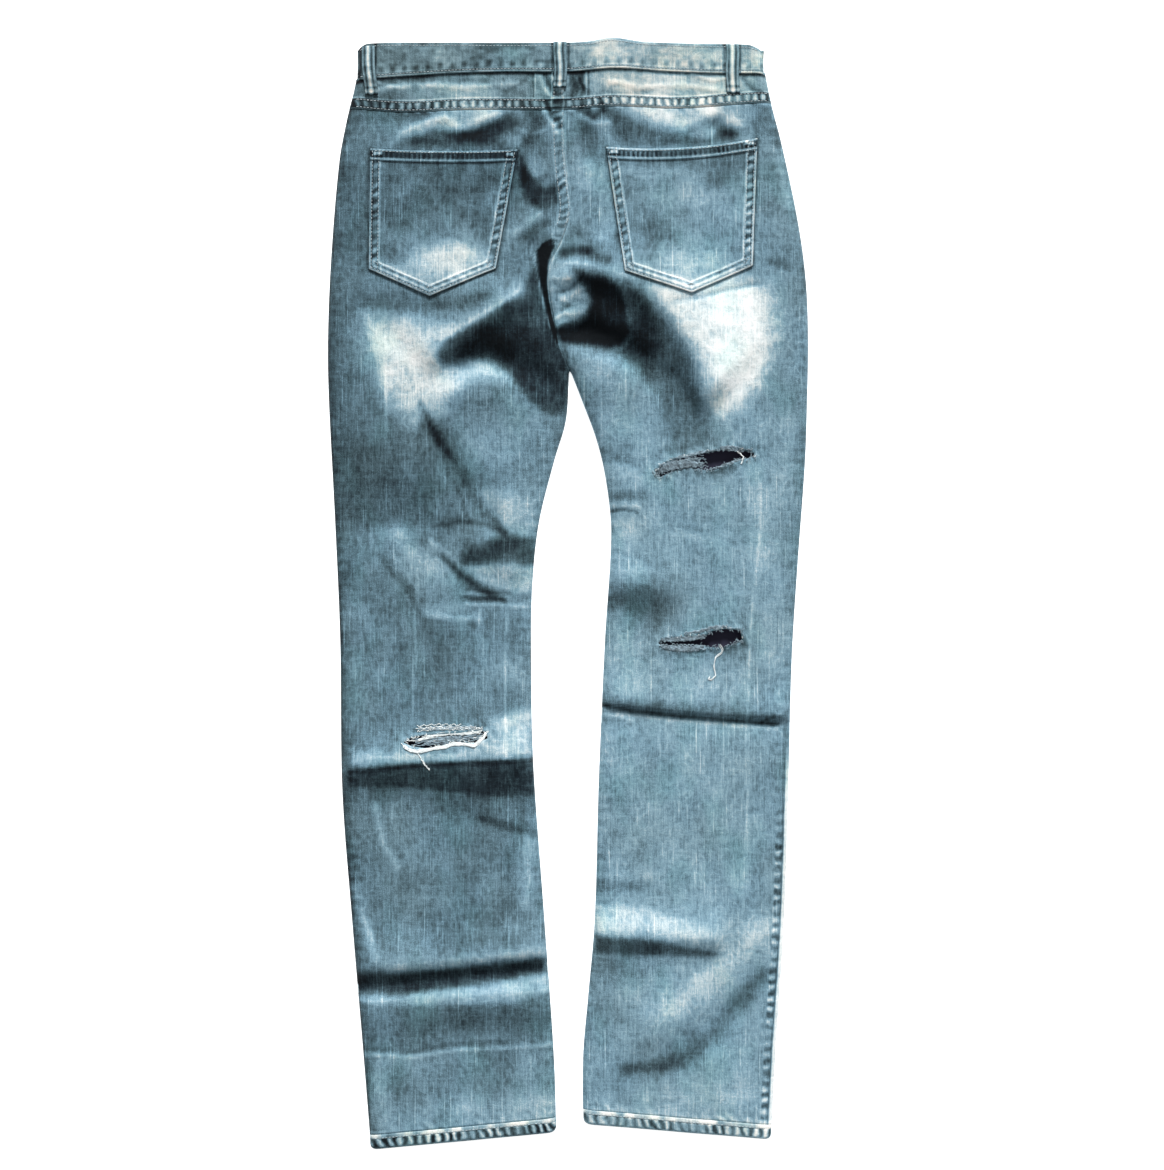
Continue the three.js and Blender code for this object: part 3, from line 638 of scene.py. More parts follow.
# An area: what it adds, over how many mm it sets in either side of its outline, and the outline.
AREAS = [
    # Left seat: pale above and below the pocket and over the thigh, partly wear and partly painted highlight;
    # painted shade in a band over the pocket's mouth and in the hollow by the crotch.
    (0.24, 7, [(-165, 448), (-130, 466), (-100, 472), (-66, 467), (-90, 455), (-115, 450), (-142, 444)]),
    (-0.2, 6, [(-154, 441), (-130, 450), (-85, 450), (-55, 464), (-45, 455), (-80, 437), (-150, 433)]),
    (0.12, 3, [(-172, 478), (-110, 478), (-45, 477), (-45, 469), (-110, 468), (-172, 470)]),
    (0.26, 9, [(-184, 320), (-160, 326), (-140, 334), (-115, 341), (-90, 336), (-76, 324), (-90, 309),
               (-120, 300), (-135, 295), (-160, 304)]),
    (0.38, 17, [(-198, 272), (-170, 266), (-140, 262), (-112, 262), (-92, 268), (-70, 280), (-46, 296),
                (-50, 289), (-75, 272), (-118, 247), (-126, 240), (-124, 222), (-104, 226), (-88, 228),
                (-70, 222), (-58, 212), (-75, 203), (-100, 200), (-115, 190), (-128, 172), (-150, 168),
                (-170, 185), (-192, 215), (-200, 245)]),
    (-0.14, 7, [(-200, 290), (-150, 284), (-105, 288), (-72, 292), (-90, 276), (-140, 272), (-198, 278)]),
    (-0.3, 5, [(-46, 291), (-60, 284), (-80, 270), (-104, 254), (-120, 244), (-127, 232), (-119, 221),
                (-110, 223), (-100, 229), (-86, 230), (-70, 225), (-57, 214), (-48, 203), (-36, 188),
                (-22, 178), (-4, 174), (2, 205), (0, 232), (-12, 250), (-20, 268), (-26, 290), (-31, 322),
                (-38, 308)]),
    (-0.12, 5, [(-24, 352), (-30, 338), (-30, 315), (-26, 290), (-20, 268), (-14, 252), (-8, 246), (-14, 262),
                (-19, 285), (-20, 318), (-14, 338), (-10, 346)]),
    (-0.42, 1.3, [(-30, 334), (-24, 341), (-16, 345), (-13, 338), (-17, 330), (-20, 320), (-20.5, 300),
                  (-18, 283), (-14, 266), (-11, 254), (-10, 244), (-16, 258), (-21, 276), (-25, 292),
                  (-28, 312)]),
    (-0.30, 5, [(-46, 424), (-38, 408), (-22, 395), (-10, 398), (-8, 380), (-22, 371), (-38, 380),
                (-46, 400)]),
    (-0.22, 3, [(1, 508), (9, 508), (16, 492), (12, 482), (3, 480)]),
    # Right seat: the same, with a longer and darker painted shade in the hollow.
    (0.30, 6, [(62, 472), (104, 474), (146, 472), (134, 458), (110, 454), (84, 458)]),
    (-0.24, 6, [(34, 472), (56, 466), (78, 452), (96, 449), (132, 441), (152, 452), (170, 452), (160, 441),
                (138, 437), (90, 433), (58, 434), (46, 446)]),
    (-0.13, 8, [(40, 424), (110, 424), (178, 432), (176, 414), (150, 408), (100, 414), (60, 410), (46, 412)]),
    (0.16, 6, [(68, 318), (96, 300), (119, 294), (150, 303), (172, 316), (140, 308), (118, 306), (96, 310)]),
    (0.39, 17, [(84, 294), (100, 272), (114, 256), (124, 238), (130, 219), (137, 200), (143, 186), (152, 174),
                (170, 184), (186, 208), (196, 236), (199, 262), (198, 286), (184, 300), (158, 300),
                (132, 296), (108, 298)]),
    (-0.30, 4, [(6, 316), (22, 309), (40, 304), (50, 296), (56, 276), (58, 256), (52, 243), (40, 240),
                (22, 242), (2, 243), (-10, 248), (-14, 258), (6, 262), (18, 268), (24, 284), (18, 300)]),
    (-0.24, 13, [(18, 312), (44, 306), (66, 292), (84, 266), (88, 240), (78, 226), (52, 232), (26, 238),
                 (20, 262), (26, 288)]),
    (-0.2, 12, [(60, 300), (76, 286), (94, 262), (108, 246), (114, 232), (124, 206), (134, 182), (140, 152),
                (100, 150), (92, 175), (82, 200), (66, 222), (50, 236), (70, 258)]),
    (0.12, 2.5, [(-18, 316), (-4, 320), (4, 312), (8, 303), (16, 292), (19, 279), (12, 270), (-2, 264),
                 (-9, 261), (-15, 276)]),
    (-0.16, 3, [(-12, 257), (-6, 262), (10, 268), (20, 277), (20, 290), (10, 305), (2, 314), (12, 312),
                (28, 302), (32, 286), (34, 262), (36, 250), (20, 246), (-4, 245)]),
    # Left knee.
    (0.16, 8, [(-98, 106), (-78, 102), (-50, 97), (-33, 92), (-31, 64), (-45, 56), (-62, 62), (-82, 82)]),
    (-0.26, 6, [(-102, 31), (-98, 46), (-75, 53), (-52, 58), (-32, 52), (-33, 30), (-55, 32), (-75, 31)]),
    (0.19, 5, [(-102, 27), (-60, 29), (-33, 26), (-35, 4), (-60, 3), (-80, 10), (-95, 20)]),
    # Left calf and shin: painted highlight above the crest of each fold and painted shade below it.
    (0.27, 7, [(-78, -120), (-34, -112), (-33, -157), (-100, -160), (-160, -161), (-207, -164), (-208, -151),
               (-165, -153), (-110, -153), (-76, -137)]),
    (-0.17, 3, [(-214, -171), (-150, -165), (-90, -162), (-33, -160), (-31, -196), (-80, -196), (-130, -190),
                (-170, -186), (-214, -186)]),
    (-0.09, 13, [(-216, -176), (-150, -170), (-90, -166), (-30, -162), (-28, -212), (-80, -214), (-130, -206),
                 (-170, -202), (-216, -200)]),
    (-0.27, 4, [(-207, -368), (-170, -368), (-120, -364), (-60, -357), (-22, -353), (-24, -367), (-60, -373),
                (-100, -379), (-150, -386), (-180, -388), (-207, -385)]),
    (0.20, 4, [(-205, -390), (-160, -390), (-100, -383), (-50, -375), (-20, -369), (-18, -386), (-50, -395),
               (-100, -397), (-150, -398), (-205, -397)]),
    # Right shin: painted highlight above the fold's crest and painted shade below it.
    (0.14, 6, [(26, -300), (80, -305), (130, -320), (152, -336), (120, -335), (80, -331), (26, -327)]),
    (-0.28, 4, [(26, -331), (60, -334), (100, -339), (152, -349), (140, -352), (100, -351), (60, -350),
                (26, -347)]),
]

# A stroke: what it adds to the fade, what it adds to the height, its half width, and its line.
STROKES = [
    # Left thigh and knee.
    (-0.13, 0, 12, [(-132, 165), (-115, 130), (-102, 106)]),
    (-0.19, -0.8, 5, [(-143, 184), (-125, 150), (-106, 122), (-88, 92), (-62, 60)]),
    (-0.16, -0.4, 1.6, [(-159, 222), (-148, 196), (-138, 172), (-124, 146)]),
    (-0.10, 0, 1.4, [(-120, 125), (-104, 95), (-96, 70)]),
    (0.13, 0, 9, [(-168, 56), (-146, 38), (-122, 24)]),
    (-0.24, -1.2, 3.5, [(-122, 38), (-110, 24), (-95, 12), (-80, 2), (-64, -6)]),
    (-0.13, -0.6, 1.5, [(-98, 5), (-76, 2), (-56, 1)]),
    (0.13, 0.6, 1.5, [(-104, 1), (-80, -1), (-58, -3)]),
    (-0.13, -0.5, 2.5, [(-128, 66), (-105, 71), (-80, 68), (-62, 60)]),
    (0.15, 0.5, 3.5, [(-134, 52), (-120, 40), (-108, 28), (-100, 20)]),
    (0.15, 0.7, 2.5, [(-98, -9), (-70, -10), (-38, -13)]),
    (-0.10, -0.5, 3, [(-100, -4), (-72, -5)]),
    (0.12, 0.6, 3, [(-138, -19), (-112, -24), (-86, -24)]),
    (-0.12, -0.8, 4, [(-184, 38), (-165, 15), (-152, 0), (-143, -22)]),
    (-0.15, 0, 2, [(-150, -133), (-120, -131.5), (-84, -131)]),
    (0.14, 0, 1.6, [(-60, -20), (-61, -90), (-60, -158)]),
    (0.09, 0, 1.3, [(-85, -15), (-81, -120)]),
    (0.09, 0, 1.5, [(-147, 10), (-150, -110)]),
    (0.09, 0, 1.2, [(-178, 250), (-176, 130)]),
    # Left shin.
    (-0.2, 0, 2.5, [(-212, -172), (-150, -166), (-90, -163), (-34, -161)]),
    (-0.17, -0.8, 5, [(-86, -218), (-60, -226), (-34, -232)]),
    (0.18, 0.4, 4, [(-188, -205), (-180, -240), (-166, -266)]),
    (0.2, 0.4, 5, [(-206, -288), (-196, -320), (-186, -350)]),
    (0.16, 0, 7, [(-38, -235), (-42, -300)]),
    (0.14, 0, 7, [(-172, -364), (-100, -357), (-28, -347)]),
    (0.13, 0.6, 2.5, [(-197, -447), (-150, -450), (-110, -443), (-60, -441), (-16, -438)]),
    (-0.11, -0.5, 3, [(-197, -442), (-150, -445), (-110, -438), (-60, -436)]),
    (0.12, 0, 14, [(-190, -508), (-20, -495)]),
    # Yokes and the waistband's middle.
    (0.15, 0.6, 3, [(-190, 488), (-150, 494), (-100, 491), (-50, 495)]),
    (-0.10, -0.5, 2.5, [(-185, 495), (-140, 499), (-80, 498)]),
    (0.14, 0.5, 2, [(-196, 501), (-176, 493), (-160, 490)]),
    (-0.12, -0.5, 2.5, [(-60, 487), (-46, 494), (-38, 502)]),
    (0.18, 0.6, 2, [(-27, 502), (-24, 492), (-18, 484)]),
    (-0.22, -0.8, 2.5, [(-22, 503), (-18, 494), (-13, 487)]),
    (-0.24, -0.8, 3, [(14, 506), (12, 496), (17, 487)]),
    (0.2, 0.6, 1.6, [(9, 500), (13, 490), (10, 483)]),
    (0.16, 0.6, 3, [(40, 498), (70, 492), (110, 494), (150, 488)]),
    (-0.12, -0.5, 3, [(34, 488), (60, 484), (80, 487)]),
    (0.14, 0.5, 2, [(120, 504), (140, 498), (152, 500)]),
    (-0.18, -0.6, 2.5, [(170, 500), (178, 490), (190, 486)]),
    # Seat.
    (-0.20, -1.0, 3, [(-24, 478), (-14, 464), (-6, 454)]),
    (0.20, 0.8, 2.5, [(-28, 476), (-17, 458), (-10, 446)]),
    (-0.24, -1.0, 3.5, [(12, 472), (24, 463), (36, 470)]),
    (0.16, 0.6, 2, [(-50, 452), (-36, 446), (-22, 450)]),
    (-0.14, 0, 7, [(-98, 446), (-70, 438), (-48, 424), (-42, 404)]),
    (0.13, 0.7, 3, [(-172, 434), (-160, 448), (-138, 457), (-121, 462)]),
    (0.15, 0.7, 4, [(-121, 463), (-104, 452), (-86, 459), (-68, 466)]),
    (-0.13, -0.7, 4, [(-152, 438), (-130, 449), (-106, 443), (-84, 449), (-66, 457)]),
    (0.16, 0.8, 3, [(12, 464), (25, 456), (40, 458)]),
    (-0.16, 0, 6, [(-38, 440), (-30, 456), (-34, 466)]),
    (0.13, 0.8, 5, [(-52, 350), (-32, 366), (-16, 378)]),
    (-0.14, -0.8, 5, [(-44, 346), (-22, 360)]),
    (-0.30, -1.2, 5, [(-4, 331), (6, 334), (18, 333)]),
    (-0.16, -0.8, 6, [(20, 331), (38, 323)]),
    (-0.2, -0.7, 2.2, [(-12, 292), (2, 296), (12, 305)]),
    (-0.18, -0.7, 2.2, [(-6, 276), (5, 284), (17, 284)]),
    (0.12, 0.6, 2.5, [(-8, 285), (4, 290), (14, 296)]),
    (0.16, 0.8, 2.4, [(-10, 321), (4, 321), (20, 319)]),
    (0.12, 0.8, 3.5, [(20, 316), (46, 312), (62, 304)]),
    (-0.16, -0.5, 1.5, [(-14, 302), (-6, 296), (0, 288)]),
    (-0.14, -0.5, 1.5, [(-12, 286), (-3, 280), (8, 279)]),
    (0.16, 0.6, 1.8, [(-14, 308), (-6, 305), (2, 306)]),
    (0.16, 0.6, 1.8, [(-12, 268), (-4, 273), (4, 272)]),
    (-0.12, -0.8, 5, [(8, 350), (30, 338)]),
    (0.09, 0, 2.5, [(-124, 246), (-100, 260), (-74, 276), (-48, 294)]),
    (-0.10, -1.0, 3, [(-24, 336), (-23, 318), (-22, 300), (-18, 278), (-14, 250)]),
    (0.24, 0.4, 1.1, [(-33, 330), (-30, 312), (-26, 294), (-21.5, 276), (-17, 258)]),
    (-0.17, -0.9, 2.5, [(104, 284), (130, 288), (158, 296), (184, 301)]),
    (0.16, 0, 6, [(128, 478), (150, 466), (166, 456)]),
    (-0.18, 0, 6, [(104, 470), (132, 461), (160, 446)]),
    (-0.12, -0.6, 4, [(196, 322), (214, 318)]),
    (0.1, 0, 7, [(190, 450), (204, 420), (214, 380)]),
    # Right leg.
    (-0.14, -0.6, 4, [(33, 140), (50, 131), (66, 126)]),
    (-0.26, -0.6, 1.6, [(41, 81), (55, 82.5), (67, 80)]),
    (0.12, 0.5, 3, [(42, 87), (56, 88), (68, 85)]),
    (0.12, 0.5, 2, [(30, -116), (48, -118), (62, -123)]),
    (-0.14, -0.4, 1.4, [(186, -126), (198, -119), (211, -117)]),
    (0.12, 0, 1.3, [(188, 165), (186, 60), (177, -40), (174, -110), (174, -250)]),
    (-0.27, 0, 1.8, [(33, -107), (60, -113), (100, -117.5), (150, -122), (204, -126.5)]),
    (-0.13, 0, 7, [(33, -102), (90, -110), (150, -115), (196, -121)]),
    (0.14, 0, 2.2, [(48, -116.5), (100, -122), (150, -126.5), (204, -131)]),
    (-0.15, -0.6, 5, [(27, -282), (60, -284), (78, -284)]),
    (0.15, 1.0, 14, [(186, -325), (165, -350), (140, -375), (100, -400), (84, -410)]),
    (-0.19, -0.8, 9, [(190, -368), (165, -400), (140, -430), (115, -449), (90, -459), (55, -461)]),
    (-0.10, 0, 5, [(60, -461), (110, -458)]),
]


def in_outline(outline, x, y):
    """True inside a closed outline: a level line from the point crosses it an odd number of times."""
    inside = np.zeros(x.shape, bool)
    for (x0, y0), (x1, y1) in zip(outline, outline[1:] + outline[:1]):
        if y0 != y1:
            inside ^= ((y0 > y) != (y1 > y)) & (x < (x1 - x0) * (y - y0) / (y1 - y0) + x0)
    return inside


def fade_and_painted_shading(x, y):
    """How faded the cloth is in plan, painted shade and highlight included: paler on the right, moved by what
    is drawn above and by mottling.
    """
    uneven = 1 + 0.22 * mottle(x, y, 13, 14)
    ragged = 2.5 * mottle(x, y, 9, 15)
    fade = mix(0.415, 0.525, smooth(x, -70, 60)) + 0.03 * mottle(x, y, 60, 11) + 0.04 * mottle(x, y, 22, 12)
    for amount, px, py, half_width, half_height, degrees in OVALS:
        turn = np.radians(degrees)
        u = (x - px) * np.cos(turn) + (y - py) * np.sin(turn)
        v = (y - py) * np.cos(turn) - (x - px) * np.sin(turn)
        fade = fade + amount * uneven * bell(u, half_width) * bell(v, half_height)
    for amount, soft, outline in AREAS:
        to_edge = np.abs(nearest_on(outline + outline[:1], x, y)[0])
        inside = np.where(in_outline(outline, x, y), to_edge, -to_edge)
        fade = fade + amount * uneven * smooth(inside + ragged * soft / 12, -soft, soft)
    for amount, _, half_width, line in STROKES:
        fade = fade + amount * uneven * bell(nearest_on(line, x, y)[0], half_width)
    return fade


# The tears, as the outline of each opening. They run across the leg, because the warp gives way and the
# white weft holds.
TEARS = {
    "left": [
        [(-160, -143.5), (-152.6, -139), (-141, -136.5), (-124, -135.5), (-105, -134.5),
         (-90, -132.5), (-78.5, -133), (-78, -139.5), (-87.5, -144), (-103, -143.5),
         (-119.5, -147), (-139, -149), (-151.5, -147)],
    ],
    "right": [
        [(84, 117), (89.5, 124.5), (101, 130), (118.5, 134.5), (132, 137.5), (146, 140),
         (162, 141.5), (181, 137.5), (182, 134), (172, 131.5), (157, 127.5), (144, 121.5),
         (134, 120.5), (119, 123), (104, 120.5), (89, 113.5)],
        [(87.5, -47), (94, -43.5), (118.5, -41.5), (134, -39.5), (140, -35.5), (152.5, -33.5),
         (168, -34.5), (169, -45), (160, -48.5), (149.5, -52), (140, -51.5), (128, -50),
         (118.5, -54), (101, -54.5), (91.5, -51)],
    ],
}


def tear_open(x, y, outlines, reach):
    """Moves the points next to an outline onto it, and says which cells to keep and how far each point is
    from the nearest tear."""
    keep = np.ones((x.shape[0] - 1, x.shape[1] - 1), bool)
    distance = np.full(x.shape, 1e9)
    for outline in outlines:
        off, _, to_x, to_y = nearest_on(outline + outline[:1], x, y)
        off = np.abs(off)
        inside = in_outline(outline, x, y) & (off >= reach)
        on_edge = off < reach
        x, y = np.where(on_edge, x + to_x, x), np.where(on_edge, y + to_y, y)
        outside = ~inside & ~on_edge
        keep &= np.any([outside[corner] for corner in CORNERS], axis=0)
        distance = np.minimum(distance, np.where(inside, 0, off))
    return x, y, keep, distance


def band(distance, half_width, soft=1.5):
    """1 within half_width, and 0 from soft beyond it."""
    return 1 - smooth(np.abs(distance), half_width, half_width + soft)


FELL = 5.5  # half width of a felled seam
SEAT_SEAM_LINE = [(float(seat_seam(y)), y) for y in range(216, 513, 6)]


def felled_seat_seam(side, x, y):
    """The felled seam lies on the left panel's edge, and turns under the fold by the crotch, where only its
    white edge shows. Returns how raised, roped and faded it is, and its phase along the seam."""
    off, along, _, _ = nearest_on(SEAT_SEAM_LINE, x, y)
    above_fold = smooth(y, 334, 348)
    middle, on_seam = off - FELL, above_fold if side == "left" else 0
    patchy = 0.6 + 0.5 * mottle(x, y, 15, 19)
    raised = band(middle, FELL - 0.5, 1.2) * on_seam
    rope = 0.2 * band(middle, FELL - 1.5, 1.5) * on_seam * patchy
    white_edge = bell(off + 0.6, 1.1) * smooth(y, 216, 240)
    far_edge = bell(np.abs(middle) - FELL + 0.4, 0.9) * on_seam
    fade = 0.34 * white_edge * mix(1, 0.6, above_fold) + 0.12 * far_edge + 0.02 * raised
    return raised, rope, fade, (along + 0.5 * middle) / 8.2


# Back pockets: the ends of the mouth and how far it sags, the lower corners, and the point.
POCKETS = {
    "left": {"mouth": [(-191.5, 432), (-49, 431)], "sag": 2, "lower": [(-193, 315.5), (-70, 315.5)],
             "point": (-134, 289)},
    "right": {"mouth": [(37, 433.5), (183.5, 442)], "sag": 5, "lower": [(55, 312.5), (179, 318.5)],
              "point": (119.5, 291.5)},
}
POCKET_BORDERS = {
    side: [pocket["mouth"][0], pocket["lower"][0], pocket["point"], pocket["lower"][1], pocket["mouth"][1]]
    for side, pocket in POCKETS.items()
}


def back_panel_surface(side, x, y):
    """Height, fade, rope and phase of a back panel at places in plan."""
    raised, rope, seam_fade, phase = felled_seat_seam(side, x, y)
    to_side = from_side(side, x, y)
    to_yoke = yoke_seam(x) - y
    to_hem = y - hem_edge[side](x) - HEM_DEPTH
    on_sides = band(to_side - 7, 6, 3) * np.where(y > CROTCH + 20, np.abs(x - outer_edge[side](y)) < 30, 1)
    above_hem = band(to_hem, 3, 12)
    under_yoke = band(to_yoke, 1, 4)
    rope = rope + (0.018 * on_sides + 0.05 * above_hem + 0.05 * under_yoke) * (1 + mottle(x, y, 24, 17))
    side_phase = y / 11.0
    across_phase = (x + 0.8 * y) / 12.5
    phase = np.where(raised > 0.05, phase, np.where(on_sides > 0.05, side_phase, across_phase))
    by_pocket = np.abs(nearest_on(POCKET_BORDERS[side], x, y)[0])
    height = cloth_top(side, x, y) + 0.9 * raised + 1.5 * rope * np.sin(2 * np.pi * phase)
    to_outer = np.abs(x - outer_edge[side](y))
    # The dark line just outside each back pocket, 0.22 down at by_pocket, is painted shadow of the pocket's
    # edge.
    fade = fade_and_painted_shading(x, y) + seam_fade + 0.1 * above_hem * bell(to_hem, 8) - 0.22 * bell(by_pocket, 2.2)
    # The darkening within 9 mm of the outer edge, stronger on the left leg, is painted shade where the cloth
    # rolls over.
    if side == "left":
        fade = fade - 0.12 * bell(to_outer, 9) - 0.12 * bell(to_outer, 2)
    else:
        allowance = smooth(-y, 120, 200)
        fade = fade - 0.06 * bell(to_outer, 9)
        fade = fade + allowance * (0.42 * band(to_outer, 2.6, 1) - 0.2 * bell(to_outer - 4.8, 1))
        patchy = 1 + mottle(x, y, 20, 18)
        rope = rope + 0.16 * band(to_outer - 8.5, 2.2, 1.6) * smooth(-y, 200, 260) * patchy
    return height, fade, rope, phase


BACK_COLUMNS, BACK_ROWS = 88, 500
TEAR_REACH = 1.7  # over which the grid's points move onto a tear's edge
for side in SIDES:
    shares = edge_shares(BACK_COLUMNS, 0.35)
    x, y = panel_plan(side, shares, BACK_ROWS, yoke_seam, lambda y, side=side: inner_edge(side, y))
    x, y, keep, to_tear = tear_open(x, y, TEARS[side], TEAR_REACH)
    z, fade, rope, phase = back_panel_surface(side, x, y)
    lip = bell(to_tear, 3.5)
    fade = fade + (0.16 if side == "left" else 0.04) * lip
    z = z + 0.8 * lip
    rope = np.where(to_tear < 8, 0.05, rope)
    piece = put_grid(
        f"back_panel_{side}_cloth", x, y, z, panel_denim, (x, y), CLOTH,
        keep=keep, fade=fade, rope=rope, phase=phase,
    )
    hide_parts(f"back_panel_{side}")

# ----------------------------------------
# Yokes, one to a side, between the back panels and the waistband. The seam to the panel is felled: a raised
# band, stitched along both edges, that has roped into pale squares where the rub took the dye off the humps.
yoke_denim = make_denim("yoke denim", slub=0.9, warmth=0.7)
YOKE_BAND = 10.5  # height of the felled band, from the seam up


def yoke_surface(x, y):
    """Height, fade, rope and phase of the yokes and what lies under the waistband's edge."""
    up = y - yoke_seam(x)
    middle = up - YOKE_BAND / 2
    on_band = band(middle, YOKE_BAND / 2 - 0.8, 1.0)
    squares = band(middle, 2.4, 1.6)
    pale_line = bell(up - 0.7, 0.8) + 0.8 * bell(up - YOKE_BAND - 0.9, 0.8)
    dark_line = bell(up - 2.0, 0.8) + 1.1 * bell(up - YOKE_BAND + 0.7, 0.8)
    off, along, _, _ = nearest_on(SEAT_SEAM_LINE, x, y)
    on_seat_seam = band(off - FELL, FELL - 0.5, 1.2) * smooth(up, 2, 4)
    seat_edge = bell(off - 0.4, 0.9) + bell(off - 2 * FELL, 0.9)
    darts = bell(x + 31.5, 0.8) + bell(x - 18, 0.8)
    dart_shadows = bell(x + 33.5, 0.9) + bell(x - 20, 0.9)
    rubbed = 0.12 * bell(x + 105, 50) + 0.2 * bell(x - 95, 62)
    fade = fade_and_painted_shading(x, y) + rubbed * (1 - 0.5 * on_band)
    fade = fade + 0.06 * mottle(x, y, 14, 51) + 0.05 * mottle(x, 2 * y, 6, 52)
    fade = fade - 0.18 * on_band + 0.24 * pale_line - 0.24 * dark_line
    # A dark line just under the waistband's edge is painted shadow of the waistband on the yoke.
    fade = fade - 0.4 * bell(y - waist_seam(x) + 1.6, 1.6)
    fade = fade + 0.12 * squares * mix(0.6, 1.6, smooth(x, -150, 80))
    fade = fade + (0.3 * seat_edge - 0.1 * on_seat_seam)
    fade = fade + (0.24 * darts - 0.2 * dart_shadows) * band(up - 24, 11)
    rope = (0.25 * squares * (1 - on_seat_seam) + 0.2 * on_seat_seam) * (0.9 + 0.4 * mottle(x, y, 20, 53))
    across_phase = (x + 0.08 * middle) / 8.6 + 0.35 * mottle(x, y, 45, 54)
    phase = np.where(on_seat_seam > 0.05, along / 9.0, across_phase)
    height = top_across(x, y, y) + on_band + 0.8 * on_seat_seam + 1.2 * rope * np.sin(2 * np.pi * phase)
    return height, fade, rope, phase


YOKE_COLUMNS, YOKE_ROWS = 150, 44
for side in SIDES:
    shares = edge_shares(YOKE_COLUMNS, 0.2)
    rows = np.linspace(0, 1, YOKE_ROWS)[:, None]
    y = np.full((YOKE_ROWS, YOKE_COLUMNS), 490.0)  # near enough to start from
    for _ in range(5):
        edges = np.sort(np.stack([outer_edge[side](y), seat_seam(y)]), axis=0)
        x = mix(*edges, shares)
        y = mix(yoke_seam(x), waist_seam(x) + 2, rows)
    z, fade, rope, phase = yoke_surface(x, y)
    piece = put_grid(
        f"yoke_{side}_cloth", x, y, z, yoke_denim, (x, y + 0.3 * x), CLOTH, fade=fade, rope=rope, phase=phase
    )
    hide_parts(f"yoke_{side}")

# ----------------------------------------
# Back pockets, sewn on top of the panels round three sides with two rows. The mouth is hemmed and held by a
# bar tack at each end. Their borders rope, and their lower ends are rubbed pale.
LAY_GAP = 0.8
POCKET_HEM = 11.5
POCKET_POINTS = 104  # across and up


def pocket_plan(pocket, u, v):
    """Where a pocket's own u, across, and v, up, lie in plan."""
    (mx0, my0), (mx1, my1) = pocket["mouth"]
    (lx0, ly0), (lx1, ly1) = pocket["lower"]
    px, py = pocket["point"]
    at = (px - lx0) / (lx1 - lx0)
    bottom = np.where(u < at, mix(ly0, py, u / at), mix(py, ly1, (u - at) / (1 - at)))
    top = mix(my0, my1, u) - pocket["sag"] * 4 * u * (1 - u)
    return mix(mix(lx0, lx1, u), mix(mx0, mx1, u), v), mix(bottom, top, v), top


def pocket_surface(side, x, y, mouth_y):
    """Height, fade, rope and phase of a back pocket, by distance from its border and from its mouth."""
    pocket = POCKETS[side]
    inside, along, _, _ = nearest_on(POCKET_BORDERS[side], x, y)
    inside, below = np.abs(inside), mouth_y - y
    (_, ly0), (_, ly1) = pocket["lower"]
    at_bottom = 1 - smooth(y, min(ly0, ly1) + 2, max(ly0, ly1) + 12)
    on_hem = band(below - POCKET_HEM / 2, POCKET_HEM / 2 - 0.6, 1.0)
    on_border = band(inside - 4.5, 4.2, 1.0) * (1 - on_hem)
    puckers = band(inside - 5.3, 2.4, 1.2) * (1 - on_hem)
    hem_puckers = band(below - 5.6, 2.0, 1.6) * on_hem

    fade = fade_and_painted_shading(x, y) - 0.02 + 0.05 * mottle(x, y, 11, 25)
    lines = 0.34 * bell(inside - 0.6, 1.1) - 0.24 * bell(inside - 2.4, 0.8) + 0.28 * bell(inside - 9.6, 0.9)
    lines = lines - 0.12 * bell(inside - 8.4, 0.7)
    lines = lines + at_bottom * (0.2 * bell(inside - 4.6, 1.2) - 0.2 * bell(inside - 7, 0.8))
    fade = fade + lines * (1 - on_hem) - 0.02 * puckers * (1 - at_bottom)
    hem_lines = 0.26 * bell(below - 0.5, 0.9) + 0.24 * bell(below - POCKET_HEM + 2.2, 0.9)
    # Just below the hem of the mouth, 0.3 is taken off as painted shadow of the hem's edge.
    hem_lines = hem_lines - 0.3 * bell(below - POCKET_HEM - 0.1, 1.0)
    fade = fade + hem_lines - 0.22 * on_hem * band(below - 4.6, 2.6, 1.2)
    for corner_x, corner_y in pocket["mouth"]:
        inward = np.abs(x - corner_x)
        tack = band(inward - 7.5, 3.6, 0.8) * band(corner_y - y - 4.5, 1.3, 0.7)
        fade = fade + 0.5 * tack - 0.2 * band(inward - 7, 5, 1) * bell(corner_y - y - 8, 1.4)
    patchy = 0.75 + 0.6 * mottle(x, y, 12, 23)
    rope = (0.17 * puckers * (1 - 0.6 * at_bottom) + 0.13 * hem_puckers) * patchy
    phase = np.where(on_hem > 0.05, x / 4.6, (along + 0.4 * inside) / 9.0) + 0.2 * mottle(x, y, 25, 24)
    height = cloth_top(side, x, y) + LAY_GAP + CLOTH + 0.5 * on_border + 0.5 * on_hem
    height = height - 0.35 * bell(inside - 2.2, 0.8) - 0.35 * bell(inside - 8.6, 0.8)
    height = height - 0.5 * bell(inside, 1.2) + 1.0 * rope * np.sin(2 * np.pi * phase)
    return height, fade, rope, phase


for side in SIDES:
    shares = np.linspace(0, 1, POCKET_POINTS)
    u, v = np.meshgrid(shares, shares)
    x, y, mouth_y = pocket_plan(POCKETS[side], u, v)
    z, fade, rope, phase = pocket_surface(side, x, y, mouth_y)
    piece = put_grid(
        f"back_pocket_{side}_cloth", x, y, z, panel_denim, (x + 3, y), CLOTH,
        fade=fade, rope=rope, phase=phase,
    )
    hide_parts(f"back_pocket_{side}")

